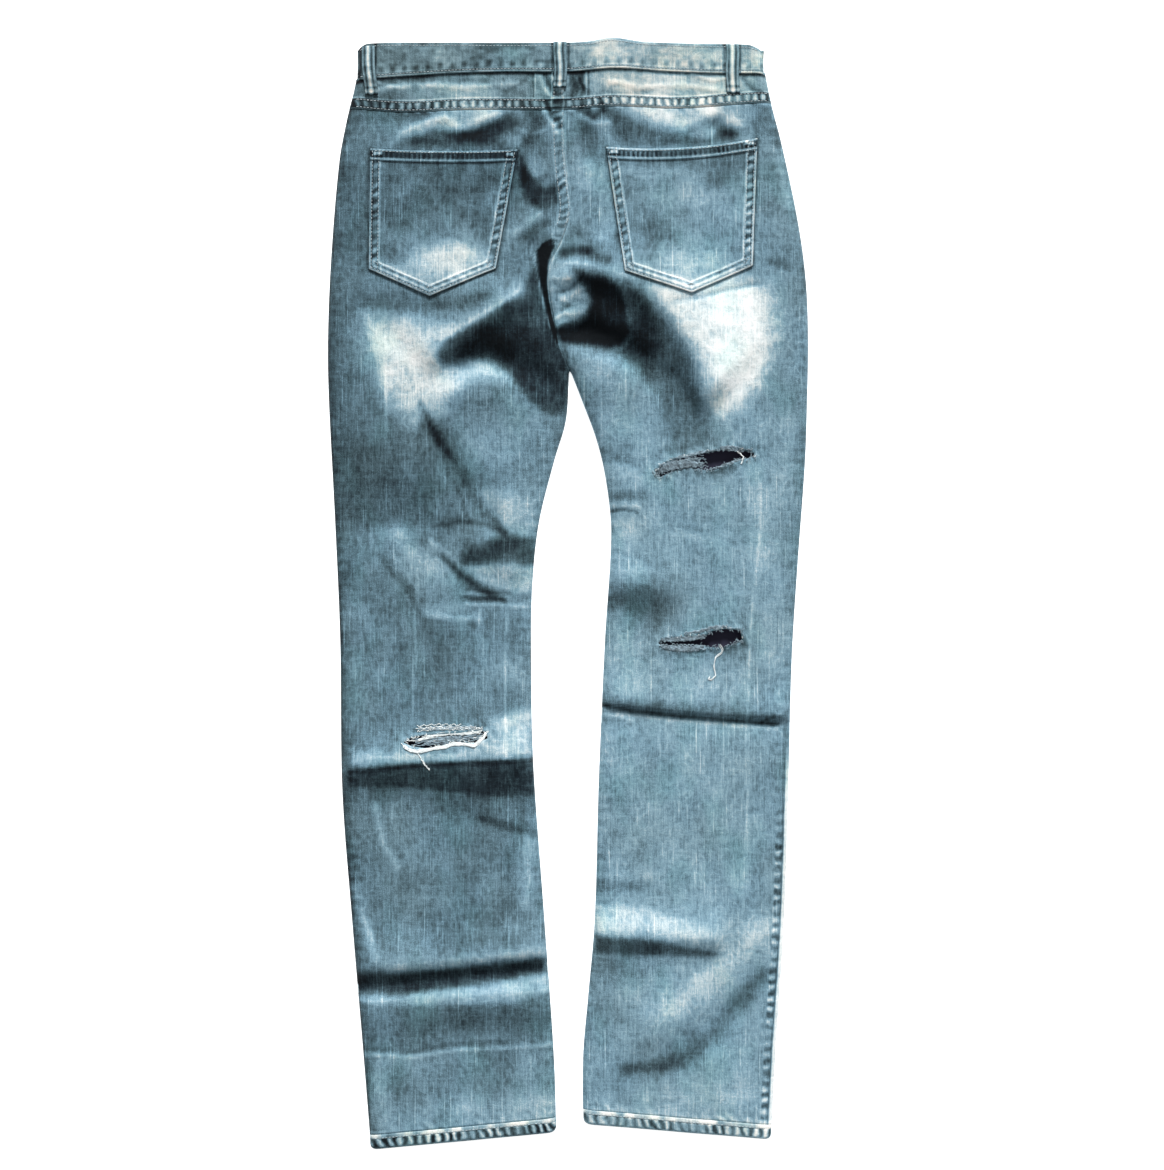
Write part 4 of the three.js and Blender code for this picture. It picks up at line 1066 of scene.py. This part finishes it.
# ----------------------------------------
# Waistband: one doubled strip right round the waist. It starts at the buttonhole end, under the left front,
# goes over the back and returns beneath the right front to the button.
waist_denim = make_denim("waistband denim", slub=0.7, warmth=0.8)
DOUBLED = 2.4
DOUBLED_WALL = 1.8  # of the waistband and hems, which are folded double
SEAM_GAP = 0.3
BAND_MIDDLE = 517.0  # y half way up the waistband
BAND_RISE = 1
OVERLAP = 20
BAND_PITCH = 11.5  # from one pucker of the waistband to the next
EDGE_MIDDLE = 1.85  # height of the outermost line of the waistband's sides
WAIST_LEFT, WAIST_RIGHT = (outer_edge[side](BAND_MIDDLE) for side in SIDES)
waist_top = through(
    (-206, 529), (-194, 534), (-120, 535), (0, 535), (22, 536.5), (42, 540), (72, 536), (120, 534),
    (174, 533), (188, 529),
)
BACK_LOOPS = {
    "left": ((-194, 531), (-190.5, 484)),
    "centre": ((-7.5, 535), (-7.5, 491)),
    "right": ((159, 533), (160, 485.5)),
}


def at_waist_edge(x):
    """1 at either side of the waistband, and 0 from 4 mm inwards."""
    return rounded(np.minimum(x - WAIST_LEFT, WAIST_RIGHT - x), 4)


def waistband_top(x, y):
    """The cloth below, the rise of the band over it, rounded sides, and puckers: a sine under a bell."""
    puckers = 0.5 * bell(y - waist_seam(x) - 7, 2.6) * np.sin(2 * np.pi * x / BAND_PITCH)
    height = top_across(x, y, WAIST) + BAND_RISE - EDGE_MIDDLE * at_waist_edge(x)
    return height + puckers + 0.25 * mottle(x, y, 9, 21)


def waistband_under(x, y, doubled_over):
    """The lifted front and the rounded sides. The end that is doubled over lies a band higher."""
    return front_lift(x, y) + EDGE_MIDDLE * at_waist_edge(x) + doubled_over * (DOUBLED + SEAM_GAP)


def waistband_fade(x, y):
    """Paler to the right, with painted shadow beside the loops, dark in blots along the seam, and a pale line
    on the seam.
    """
    up, down = y - waist_seam(x), waist_top(x) - y
    fade = mix(0.47, 0.65, smooth(x, -60, 60))
    fade = fade + 0.09 * mottle(x, y * 1.5, 22, 31) + 0.09 * mottle(x, y * 2.5, 8, 32)
    # Dark lines along both sides of each back loop are painted shadow of the loop.
    for ((loop_x, _), _) in BACK_LOOPS.values():
        fade = fade - 0.3 * bell(np.abs(x - loop_x) - 7.6, 1.3)
    blobs = np.maximum(np.sin(2 * np.pi * (x + 1.4 * mottle(x, 0 * y, 30, 33)) / BAND_PITCH), -0.3)
    fade = fade - 0.2 * blobs * bell(up - 7.5, 3.4)
    fade = fade + 0.18 * bell(up - 0.6, 0.9) - 0.24 * bell(up - 2.8, 0.8) + 0.1 * bell(up - 4.0, 0.8)
    fade = fade - 0.12 * bell(down, 2.2) - 0.12 * (x < -195)
    return fade + 0.12 * bell(x - 38, 14) * bell(down - 8, 8)


# Columns of the ring: under the left front, over the back, and under the right front.
LEFT_COLUMNS, OVER_COLUMNS, RIGHT_COLUMNS, BAND_ROWS = 110, 230, 90, 30
over = mix(WAIST_LEFT, WAIST_RIGHT, edge_shares(OVER_COLUMNS, 0.5))
under_left = mix(BUTTON[0] + OVERLAP, WAIST_LEFT, 1 - (1 - np.linspace(0, 1, LEFT_COLUMNS)) ** 1.5)
under_right = mix(WAIST_RIGHT, BUTTON[0] - OVERLAP, np.linspace(0, 1, RIGHT_COLUMNS) ** 1.5)
ring_x = np.concatenate([under_left[:-1], over, under_right[1:]])
x = np.broadcast_to(ring_x, (BAND_ROWS, ring_x.size))
y = mix(waist_seam(x), waist_top(x), np.linspace(0, 1, BAND_ROWS)[:, None])
column = np.arange(ring_x.size) - (LEFT_COLUMNS - 1)
is_over = (column >= 0) & (column < OVER_COLUMNS)
tucked = (column >= OVER_COLUMNS) * (1 - smooth(x, 52, 90))
z = np.where(is_over, waistband_top(x, y), waistband_under(x, y, tucked))
z = z - np.where(is_over, 1, -1) * 0.9 * rounded(waist_top(x) - y, 2)
walked = reached_at(np.abs(np.diff(ring_x)))
waistband = put_grid(
    "waistband_cloth", x, y, z, waist_denim, (walked, y), DOUBLED_WALL,
    fade=waistband_fade(x, y), rope=0.0, phase=0.0,
)
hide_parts("waistband")

# ----------------------------------------
# Belt loops, three behind and two in front: a strip folded into three, so it has a ridge down its middle,
# held by a bar tack at its lower end.
LOOP_WIDTH = 12.6
LOOP_ARCH = 1.6
FRONT_LOOP_LENGTH = 46
LOOP_COLUMNS, LOOP_ROWS = 19, 52
u, v = np.meshgrid(np.linspace(0, 1, LOOP_COLUMNS), np.linspace(0, 1, LOOP_ROWS))
across = (u - 0.5) * LOOP_WIDTH
off_middle, off_ridge = np.abs(across), across + 0.3
ridges = 0.75 * bell(off_ridge, 2.2) + 0.35 * bell(off_middle - 5, 1.0) - 0.5 * bell(off_middle - 6.3, 0.6)
loop_fade = 0.4 + 0.4 * bell(off_ridge, 1.9) + 0.1 * bell(off_middle - 5.2, 1.1)
loop_fade = loop_fade + 0.08 * mottle(across, 60 * v, 5, 61) - 0.22 * bell(np.abs(off_ridge) - 3.2, 0.9)
tack = bell(v - 0.07, 0.035)
# The dark line at each loop's lower end, 0.35 down, is painted shadow where the loop meets the cloth beneath.
loop_fade = loop_fade + 0.2 * tack - 0.35 * bell(v, 0.03) - 0.2 * bell(v - 0.14, 0.02)
for name, ((upper_x, upper_y), (lower_x, lower_y)) in BACK_LOOPS.items():
    x = mix(lower_x, upper_x, v) + across + 0.5 * np.sin(7 * v + upper_x)
    y = mix(lower_y, upper_y, v)
    below = top_across(x, y, WAIST) + BAND_RISE * smooth(y, waist_seam(x) - 8, waist_seam(x) + 1)
    z = below + LAY_GAP + CLOTH + LOOP_ARCH * np.sin(np.pi * v) ** 0.5 + ridges * (1 - 0.6 * tack)
    piece = put_grid(
        f"belt_loop_{name}_back_cloth", x, y, z, waist_denim, (x, y), CLOTH,
        fade=loop_fade + 0.08 * smooth(x, -60, 60), rope=0.0, phase=0.0,
    )
    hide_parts(f"belt_loop_{name}_back")
for side, at in zip(SIDES, FRONT_LOOPS):
    upper = waist_top(at) - 1
    x = at - across
    y = mix(upper - FRONT_LOOP_LENGTH, upper, v)
    z = 0.5 + 0.4 * (off_middle / LOOP_WIDTH * 2) ** 6 - 0.4 * bell(across, 2.2)
    piece = put_grid(
        f"belt_loop_{side}_front_cloth", x, y, z, waist_denim, (x, y), CLOTH,
        fade=loop_fade, rope=0.0, phase=0.0,
    )
    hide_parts(f"belt_loop_{side}_front")

# ----------------------------------------
# Hems, doubled and roped: slanting pale blocks, and an upper edge that has worn white.
hem_denim = make_denim("hem denim", slub=0.7, warmth=0.6)
LEG_END = -530.0  # y by the hems
HEM_PITCH = 8.6  # from one slanting block to the next
HEM_COLUMNS, HEM_ROWS = 120, 15


def side_xs(side):
    """x of a leg's two sides by the hem, from low to high."""
    return sorted(float(edge[side](LEG_END)) for edge in (outer_edge, leg_inner_edge))


def hem_values(side, x, up, on_top):
    """Fade, rope, phase and extra height of a hem, at places up from its edge."""
    slant = (x + 0.3 * up) / HEM_PITCH + 0.7 * mottle(x, up, 30, 41)
    blocks = band(up - 5.6, 3.2, 1.4)
    fade = 0.42 + 0.1 * (side == "right") + 0.08 * mottle(x, up, 9, 42)
    worn_end = smooth(x, 150, 195) if side == "right" else -0.6 * (1 - smooth(x, -195, -150))
    fade = fade + 0.12 * worn_end
    fade = fade + 0.4 * band(up - HEM_DEPTH + 2.2, 2.0, 1.4) * (0.8 + 0.6 * mottle(x, up, 8, 43))
    fade = fade - 0.14 * bell(up - 9.8, 0.8) + 0.12 * bell(up, 1.3) - 0.12 * bell(up - 1.6, 0.8)
    rope = 0.3 * blocks * (0.8 + 0.6 * mottle(x, up, 17, 44))
    lift = 0.55 * blocks * np.sin(2 * np.pi * slant) + 0.5 * band(up - HEM_DEPTH + 1.6, 1.4, 1.2)
    return fade, rope, slant, lift * on_top


for side in SIDES:
    low, high = side_xs(side)
    over = mix(low, high, edge_shares(HEM_COLUMNS, 0.6))
    ring_x = np.concatenate([over, over[::-1][1:]])
    on_top = (np.arange(ring_x.size) < HEM_COLUMNS).astype(float)
    x = np.broadcast_to(ring_x, (HEM_ROWS, ring_x.size))
    up = np.broadcast_to(np.linspace(0, HEM_DEPTH, HEM_ROWS)[:, None], x.shape)
    to_edge = np.minimum(x - low, high - x)
    y = hem_edge[side](x) + up + 5 * rounded(to_edge, 7) * (1 - up / HEM_DEPTH)
    fade, rope, phase, lift = hem_values(side, x, up, on_top)
    top = cloth_top(side, x, hem_edge[side](x) + HEM_DEPTH) - 0.5 * RIM * rounded(to_edge, 3) + 0.3
    z = np.where(on_top > 0, top, 0.5 * RIM * rounded(to_edge, 3)) + lift
    z = z - np.where(on_top > 0, 0.9, -0.9) * rounded(up, 1.6)
    walked = reached_at(np.abs(np.diff(ring_x)))
    piece = put_grid(
        f"hem_{side}_cloth", x, y, z, hem_denim, (walked, y), DOUBLED_WALL, fade=fade, rope=rope, phase=phase
    )
    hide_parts(f"hem_{side}")

# ----------------------------------------
# Zip, button and thread. The zip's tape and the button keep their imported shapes. Every sewn line is made of
# stitches, each a short tube that dips into the cloth at both ends.
THREAD_RADIUS = 0.33
STITCH_INSET = 1.6  # from the edge of the seat seam's felled band
POCKET_MOUTH_Y = 438.0  # about
sewing_thread = plain_material("sewing thread", (0.36, 0.43, 0.46), 0.7, speckle=0.55)
weft_yarn = plain_material("bare weft yarn", (0.74, 0.79, 0.79), 0.9, speckle=0.2)
grey_yarn = plain_material("dyed frayed yarn", (0.22, 0.30, 0.35), 0.9, speckle=0.6)
zip_tape = plain_material("zip tape", (0.035, 0.045, 0.06), 0.85)
worn_metal = plain_material("worn button metal", (0.33, 0.30, 0.27), 0.42, metallic=0.9)
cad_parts["zip"].data.materials[0] = zip_tape
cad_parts["button"].data.materials[0] = worn_metal


def put_tubes(name, paths, radius, material):
    """Tubes with four sides along many paths, (count, points, 3) in mm, as one mesh."""
    count, steps = paths.shape[:2]
    way = np.gradient(paths, axis=1)
    way /= np.linalg.norm(way, axis=2, keepdims=True) + 1e-9
    sideways = np.cross(way, [0.02, 0.01, 1.0])
    sideways /= np.linalg.norm(sideways, axis=2, keepdims=True)
    upwards = np.cross(sideways, way)
    around = [sideways, upwards, -sideways, -upwards]
    points = paths[:, :, None] + radius * np.stack(around, axis=2)
    corner = np.arange(count * steps * 4).reshape(count, steps, 4)
    after = np.roll(corner, -1, axis=2)
    walls = np.stack([corner[:, :-1], after[:, :-1], after[:, 1:], corner[:, 1:]], axis=-1).reshape(-1, 4)
    ends = np.concatenate([corner[:, 0, ::-1], corner[:, -1]])
    piece = put_mesh(name, points.reshape(-1, 3), np.concatenate([walls, ends]), [material])
    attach(piece, "root")


def stitch_row(line, surface, offset=0.0, pitch=3.4, dip=0.25):
    """Stitches along a line in plan, offset to its left: four points of each, lying on the surface."""
    line = np.array(line, float)
    runs = np.diff(line, axis=0)
    length = np.hypot(*runs.T)
    reached = reached_at(length)
    at = np.arange(pitch / 2, reached[-1] - pitch, pitch)[:, None] + np.array([0, 0.25, 0.5, 0.74]) * pitch
    on_run = np.clip(np.searchsorted(reached, at) - 1, 0, len(length) - 1)
    way = runs[on_run] / length[on_run][..., None]
    x = np.interp(at, reached, line[:, 0]) - offset * way[..., 1]
    y = np.interp(at, reached, line[:, 1]) + offset * way[..., 0]
    return np.stack([x, y, surface(x, y) + dip * np.array([-1, 0.7, 0.7, -1])], axis=-1)


def along_x(curve, low, high, lift=0.0):
    """Points on a curve that gives y for each x, every 4 mm."""
    x = np.arange(low, high, 4.0)
    return list(zip(x, curve(x) + lift))


def front_height(x, y):
    """Where the front's stitches lie: 0.15 mm above its lower face."""
    return front_lift(x, y) + 0.15


def height_of(surface, *fixed):
    """A function for the height alone of a surface."""
    return lambda x, y: surface(*fixed, x, y)[0]


yoke_height = height_of(yoke_surface)
left_height = height_of(back_panel_surface, "left")
seams = {
    "seat_seam": [
        stitch_row([(x, y) for x, y in SEAT_SEAM_LINE if low < y < high], height, offset)
        for low, high, height in [(350, 468, left_height), (478, 505, yoke_height)]
        for offset in (STITCH_INSET, 2 * FELL - STITCH_INSET)
    ],
    "yokes": [
        stitch_row(along_x(yoke_seam, low, high, lift), yoke_height)
        for low, high in [(-207, -16), (2, 198)] for lift in (1.9, YOKE_BAND - 1.2)
    ],
    "waistband": [
        stitch_row(along_x(waist_seam, -203, 188, 2.6), waistband_top),
        stitch_row(along_x(waist_top, -203, 186, -3.0), waistband_top),
    ],
}
for side in SIDES:
    pocket = POCKETS[side]

    def pocket_height(x, y, side=side):
        return pocket_surface(side, x, y, np.full(np.shape(x), POCKET_MOUTH_Y))[0]

    (x0, y0), (x1, y1) = pocket["mouth"]
    share = np.linspace(0.02, 0.98, 30)
    sag = pocket["sag"] * 4 * share * (1 - share)
    mouth = np.stack([mix(x0, x1, share), mix(y0, y1, share) - sag], axis=-1)
    seams[f"back_pocket_{side}"] = [
        stitch_row(line, pocket_height, offset)
        for line, offsets in [(POCKET_BORDERS[side], (2.2, 8.6)), (mouth, (-1.8, -POCKET_HEM + 1.8))]
        for offset in offsets
    ]
    low, high = side_xs(side)

    def hem_height(x, y, side=side):
        up = y - hem_edge[side](x)
        return cloth_top(side, x, hem_edge[side](x) + HEM_DEPTH) + 0.3 + hem_values(side, x, up, 1)[3]

    seams[f"hem_{side}"] = [stitch_row(along_x(hem_edge[side], low + 3, high - 3, 10.6), hem_height)]

    turn = np.radians(np.linspace(8, 84, 40))
    seams[f"front_{side}"] = []
    for grow in (2.5, 8.5):
        scoop_x = outer_edge[side](WAIST) - SIDES[side] * (FRONT_POCKET[0] + grow) * np.cos(turn)
        scoop_y = FRONT_POCKET_Y - (FRONT_POCKET[1] + grow) * np.sin(turn)
        line = np.stack([scoop_x, scoop_y], axis=-1)
        seams[f"front_{side}"].append(stitch_row(line, front_height, dip=-0.2))
y = np.arange(226, 345, 4.0)
fly_lines = [
    ([(20 - inset, 498), (20 - inset, 372), (18 - inset * 0.6, 358), (8, 346 + inset * 0.3)], 0.0)
    for inset in (34, 40)
] + [(np.stack([front_centre_seam(y), y], axis=-1), 2.0)]
seams["fly"] = [stitch_row(line, front_height, offset, dip=-0.2) for line, offset in fly_lines]
for name, rows in seams.items():
    put_tubes(f"stitching_{name}", np.concatenate(rows), THREAD_RADIUS, sewing_thread)

# ----------------------------------------
# Frayed yarn round the tears: pale weft yarns that still bridge them, curled rolls of loose yarn along the
# lower edges, short curls on the upper ones, and three long ends that hang down.
chance = np.random.default_rng(7)


def wave(count, steps, length, waves):
    """Smooth random wandering, from about -1 to 1, for each point of many yarns."""
    t = np.linspace(0, 1, steps)
    total = np.zeros((count, steps))
    for number in (0.5, 1.0, 1.9, 3.1):
        turn = chance.uniform(0, 2 * np.pi, (count, 1))
        strength = chance.uniform(0.4, 1.0, (count, 1)) / (0.6 + number) ** 0.6
        total += strength * np.sin(2 * np.pi * waves * number * t + turn)
    return total * 0.7


def yarns(side, line, count, spread, wander, waves, lift, steps=56, trim=0.15):
    """Yarns along a line in plan. Each strays within the spread, wanders, and is lifted off the cloth."""
    line = np.array(line, float)
    reached = reached_at(np.hypot(*np.diff(line, axis=0).T))
    start = chance.uniform(0, trim, (count, 1)) * reached[-1]
    end = (1 - chance.uniform(0, trim, (count, 1))) * reached[-1]
    at = start + (end - start) * np.linspace(0, 1, steps)
    x, y = np.interp(at, reached, line[:, 0]), np.interp(at, reached, line[:, 1])
    dx, dy = np.gradient(x, axis=1), np.gradient(y, axis=1)
    size = np.hypot(dx, dy) + 1e-9
    off = chance.normal(0, spread, (count, 1)) + wander * wave(count, steps, reached[-1], waves)
    x, y = x - off * dy / size, y + off * dx / size
    x = x + 0.6 * wander * wave(count, steps, reached[-1], waves)
    z = cloth_top(side, x, y) + lift + 0.5 * wander * wave(count, steps, reached[-1], waves)
    return np.stack([x, y, z], axis=-1)


def fringe(side, line, count, length, lift=0.6, steps=12, way=1.0):
    """Short curls that leave a line in plan to its left, or to its right where way is below 0."""
    line = np.array(line, float)
    runs = np.diff(line, axis=0)
    reached = reached_at(np.hypot(*runs.T))
    at = chance.uniform(0, reached[-1], count)
    run = np.clip(np.searchsorted(reached, at) - 1, 0, len(runs) - 1)
    x0, y0 = np.interp(at, reached, line[:, 0]), np.interp(at, reached, line[:, 1])
    heading = np.arctan2(runs[run][:, 1], runs[run][:, 0]) + way * chance.uniform(0.5, 2.3, count)
    curl = chance.uniform(-4.5, 4.5, count)
    t = np.linspace(0, 1, steps)
    turn = heading[:, None] + curl[:, None] * t
    step = chance.uniform(0.45, 1.0, (count, 1)) * length / steps
    x = x0[:, None] + np.cumsum(np.cos(turn) * step, axis=1)
    y = y0[:, None] + np.cumsum(np.sin(turn) * step, axis=1)
    z = cloth_top(side, x, y) + lift * chance.uniform(0.3, 2.2, (count, 1)) * np.sin(np.pi * 0.8 * t) + 0.2
    return np.stack([x, y, z], axis=-1)


def upper_edge(outline):
    """The upper side of a tear's outline, from its left end to its right."""
    at = int(np.argmax([point[0] for point in outline]))
    return outline[: at + 1]


def lower_edge(outline):
    """The lower side of a tear's outline, from its left end to its right."""
    at = int(np.argmax([point[0] for point in outline]))
    return outline[at:][::-1]


knee_tear, thigh_tear, calf_tear = TEARS["left"][0], TEARS["right"][0], TEARS["right"][1]
lip = [(-162, -144), (-156, -149.5), (-146, -152.5), (-134, -150), (-120, -148), (-110, -145), (-100, -145),
       (-91, -147), (-83, -140), (-77.5, -132)]
pale_yarns = [
    yarns("left", lip, 17, 0.75, 0.6, 5, 0.9),
    yarns("left", [(-150, -142), (-131, -137), (-114, -134.5), (-94, -134), (-78, -130.5)],
          11, 0.8, 0.5, 4, 0.3),
    yarns("left", [(-156, -142), (-120, -142), (-82, -138)], 4, 1.6, 0.6, 3, -1.0),
    yarns("left", [(-148, -132), (-128, -130), (-104, -130.5), (-82, -129)], 5, 1.5, 1.2, 12, 0.5, trim=0.35),
    yarns("left", [(-146, -153), (-142, -160.5), (-134, -170.5)], 3, 0.3, 0.7, 2, 0.5, trim=0.05),
    yarns("right", [(147, -48), (150.5, -53.5), (149, -57), (143.5, -61), (142, -69.5), (143.5, -79),
                    (139, -83), (136, -82), (138, -79.5)], 2, 0.25, 0.35, 2, 0.6, trim=0.02),
    yarns("right", [(164, 139.5), (170.5, 134), (168, 126.5)], 3, 0.3, 0.6, 3, 0.6, trim=0.05),
]
grey_yarns = [
    yarns("left", [(-154, -143), (-120, -142), (-82, -137)], 16, 2.3, 0.9, 7, -0.4, trim=0.2),
    yarns("left", [(-146, -132), (-120, -129.5), (-84, -129)], 7, 1.2, 1.4, 12, 0.4, trim=0.3),
    yarns("right", [(84, 115), (90, 121), (102, 124), (118, 126.5), (136, 127)],
          26, 2.1, 1.8, 14, 1.4, trim=0.3),
    yarns("right", [(88, -49), (104, -52), (120, -52.5), (136, -50)], 20, 1.3, 1.6, 12, 1.1, trim=0.3),
    yarns("right", [(88, 120), (102, 127), (118, 131.5), (132, 134)], 8, 0.9, 0.8, 6, 0.2, trim=0.3),
    yarns("right", [(138, 121), (150, 125.5), (163, 130), (178, 134)], 5, 0.6, 0.8, 6, 0.5, trim=0.3),
    yarns("right", [(98, 131.5), (112, 134), (126, 137), (144, 141)], 6, 0.9, 1.0, 9, 0.6, trim=0.3),
    yarns("right", [(146, 142), (158, 143), (172, 141)], 7, 0.9, 1.2, 7, 0.6, trim=0.3),
    yarns("right", [(112, -38), (126, -36), (142, -31.5), (158, -31)], 8, 0.8, 1.2, 10, 0.6, trim=0.3),
    yarns("right", [(88, -44.5), (104, -44.5), (122, -43.5), (136, -41.5)], 14, 1.2, 1.2, 10, 0.8, trim=0.3),
]
pale_curls = [
    fringe("left", upper_edge(knee_tear), 40, 4.5, way=-1.0),
    fringe("left", lower_edge(knee_tear), 30, 4.5),
    fringe("right", upper_edge(thigh_tear), 12, 4.0, lift=0.9),
    fringe("right", upper_edge(calf_tear), 10, 4.0, lift=0.9),
]
grey_curls = [
    fringe("right", upper_edge(thigh_tear), 60, 5.0, lift=0.9),
    fringe("right", upper_edge(thigh_tear), 40, 5.0, way=-1.0),
    fringe("right", lower_edge(thigh_tear), 60, 5.0),
    fringe("right", lower_edge(thigh_tear), 40, 4.0, way=-1.0),
    fringe("right", upper_edge(calf_tear), 50, 5.0, lift=0.9),
    fringe("right", upper_edge(calf_tear), 30, 4.0, way=-1.0),
    fringe("right", lower_edge(calf_tear), 50, 5.0),
    fringe("right", lower_edge(calf_tear), 30, 4.0, way=-1.0),
]
for name, groups, radius, material in [
    ("bridging_yarns", pale_yarns, 0.33, weft_yarn),
    ("frayed_rolls", grey_yarns, 0.36, grey_yarn),
    ("pale_frays", pale_curls, 0.27, weft_yarn),
    ("grey_frays", grey_curls, 0.27, grey_yarn),
]:
    put_tubes(name, np.concatenate(groups), radius, material)

# ----------------------------------------
# Floor, light and camera: a plain pale floor, one broad light from beyond the waistband, and a soft fill.
scene = bpy.context.scene
floor_mesh = bpy.data.meshes.new("floor")
FLOOR = 6  # from its middle to each edge, in metres
floor_corners = [(-FLOOR, -FLOOR, 0), (FLOOR, -FLOOR, 0), (FLOOR, FLOOR, 0), (-FLOOR, FLOOR, 0)]
floor_mesh.from_pydata(floor_corners, [], [(0, 1, 2, 3)])
floor = bpy.data.objects.new("floor", floor_mesh)
scene.collection.objects.link(floor)
paint = plain_material("pale floor", (0.9, 0.9, 0.9), 0.9)
paint.node_tree.nodes["Principled BSDF"].inputs["Emission Color"].default_value = (1, 1, 1, 1)
paint.node_tree.nodes["Principled BSDF"].inputs["Emission Strength"].default_value = 0.75
floor_mesh.materials.append(paint)

key = bpy.data.lights.new("key", "SUN")
key.energy = 5.2
key.angle = np.radians(14)
key_light = bpy.data.objects.new("key", key)
key_light.rotation_euler = (np.radians(-58), np.radians(8), 0)
scene.collection.objects.link(key_light)
scene.world = bpy.data.worlds.new("studio")
scene.world.use_nodes = True
sky = scene.world.node_tree.nodes["Background"]
sky.inputs["Color"].default_value = (1, 1, 1, 1)
sky.inputs["Strength"].default_value = 0.42
scene.view_settings.view_transform = "Standard"

FRAME_HEIGHT = 1.1372  # of what the camera sees of the floor, in metres
camera = bpy.data.cameras.new("camera")
camera.lens = 70
camera.sensor_width = 36
camera_object = bpy.data.objects.new("camera", camera)
CAMERA_OVER = (0.0136, 0.0092, 0.008)  # the point on the cloth that the camera looks down at
from_cloth = FRAME_HEIGHT * camera.lens / camera.sensor_width
camera_object.location = (CAMERA_OVER[0], CAMERA_OVER[1], from_cloth + CAMERA_OVER[2])
scene.collection.objects.link(camera_object)
scene.camera = camera_object
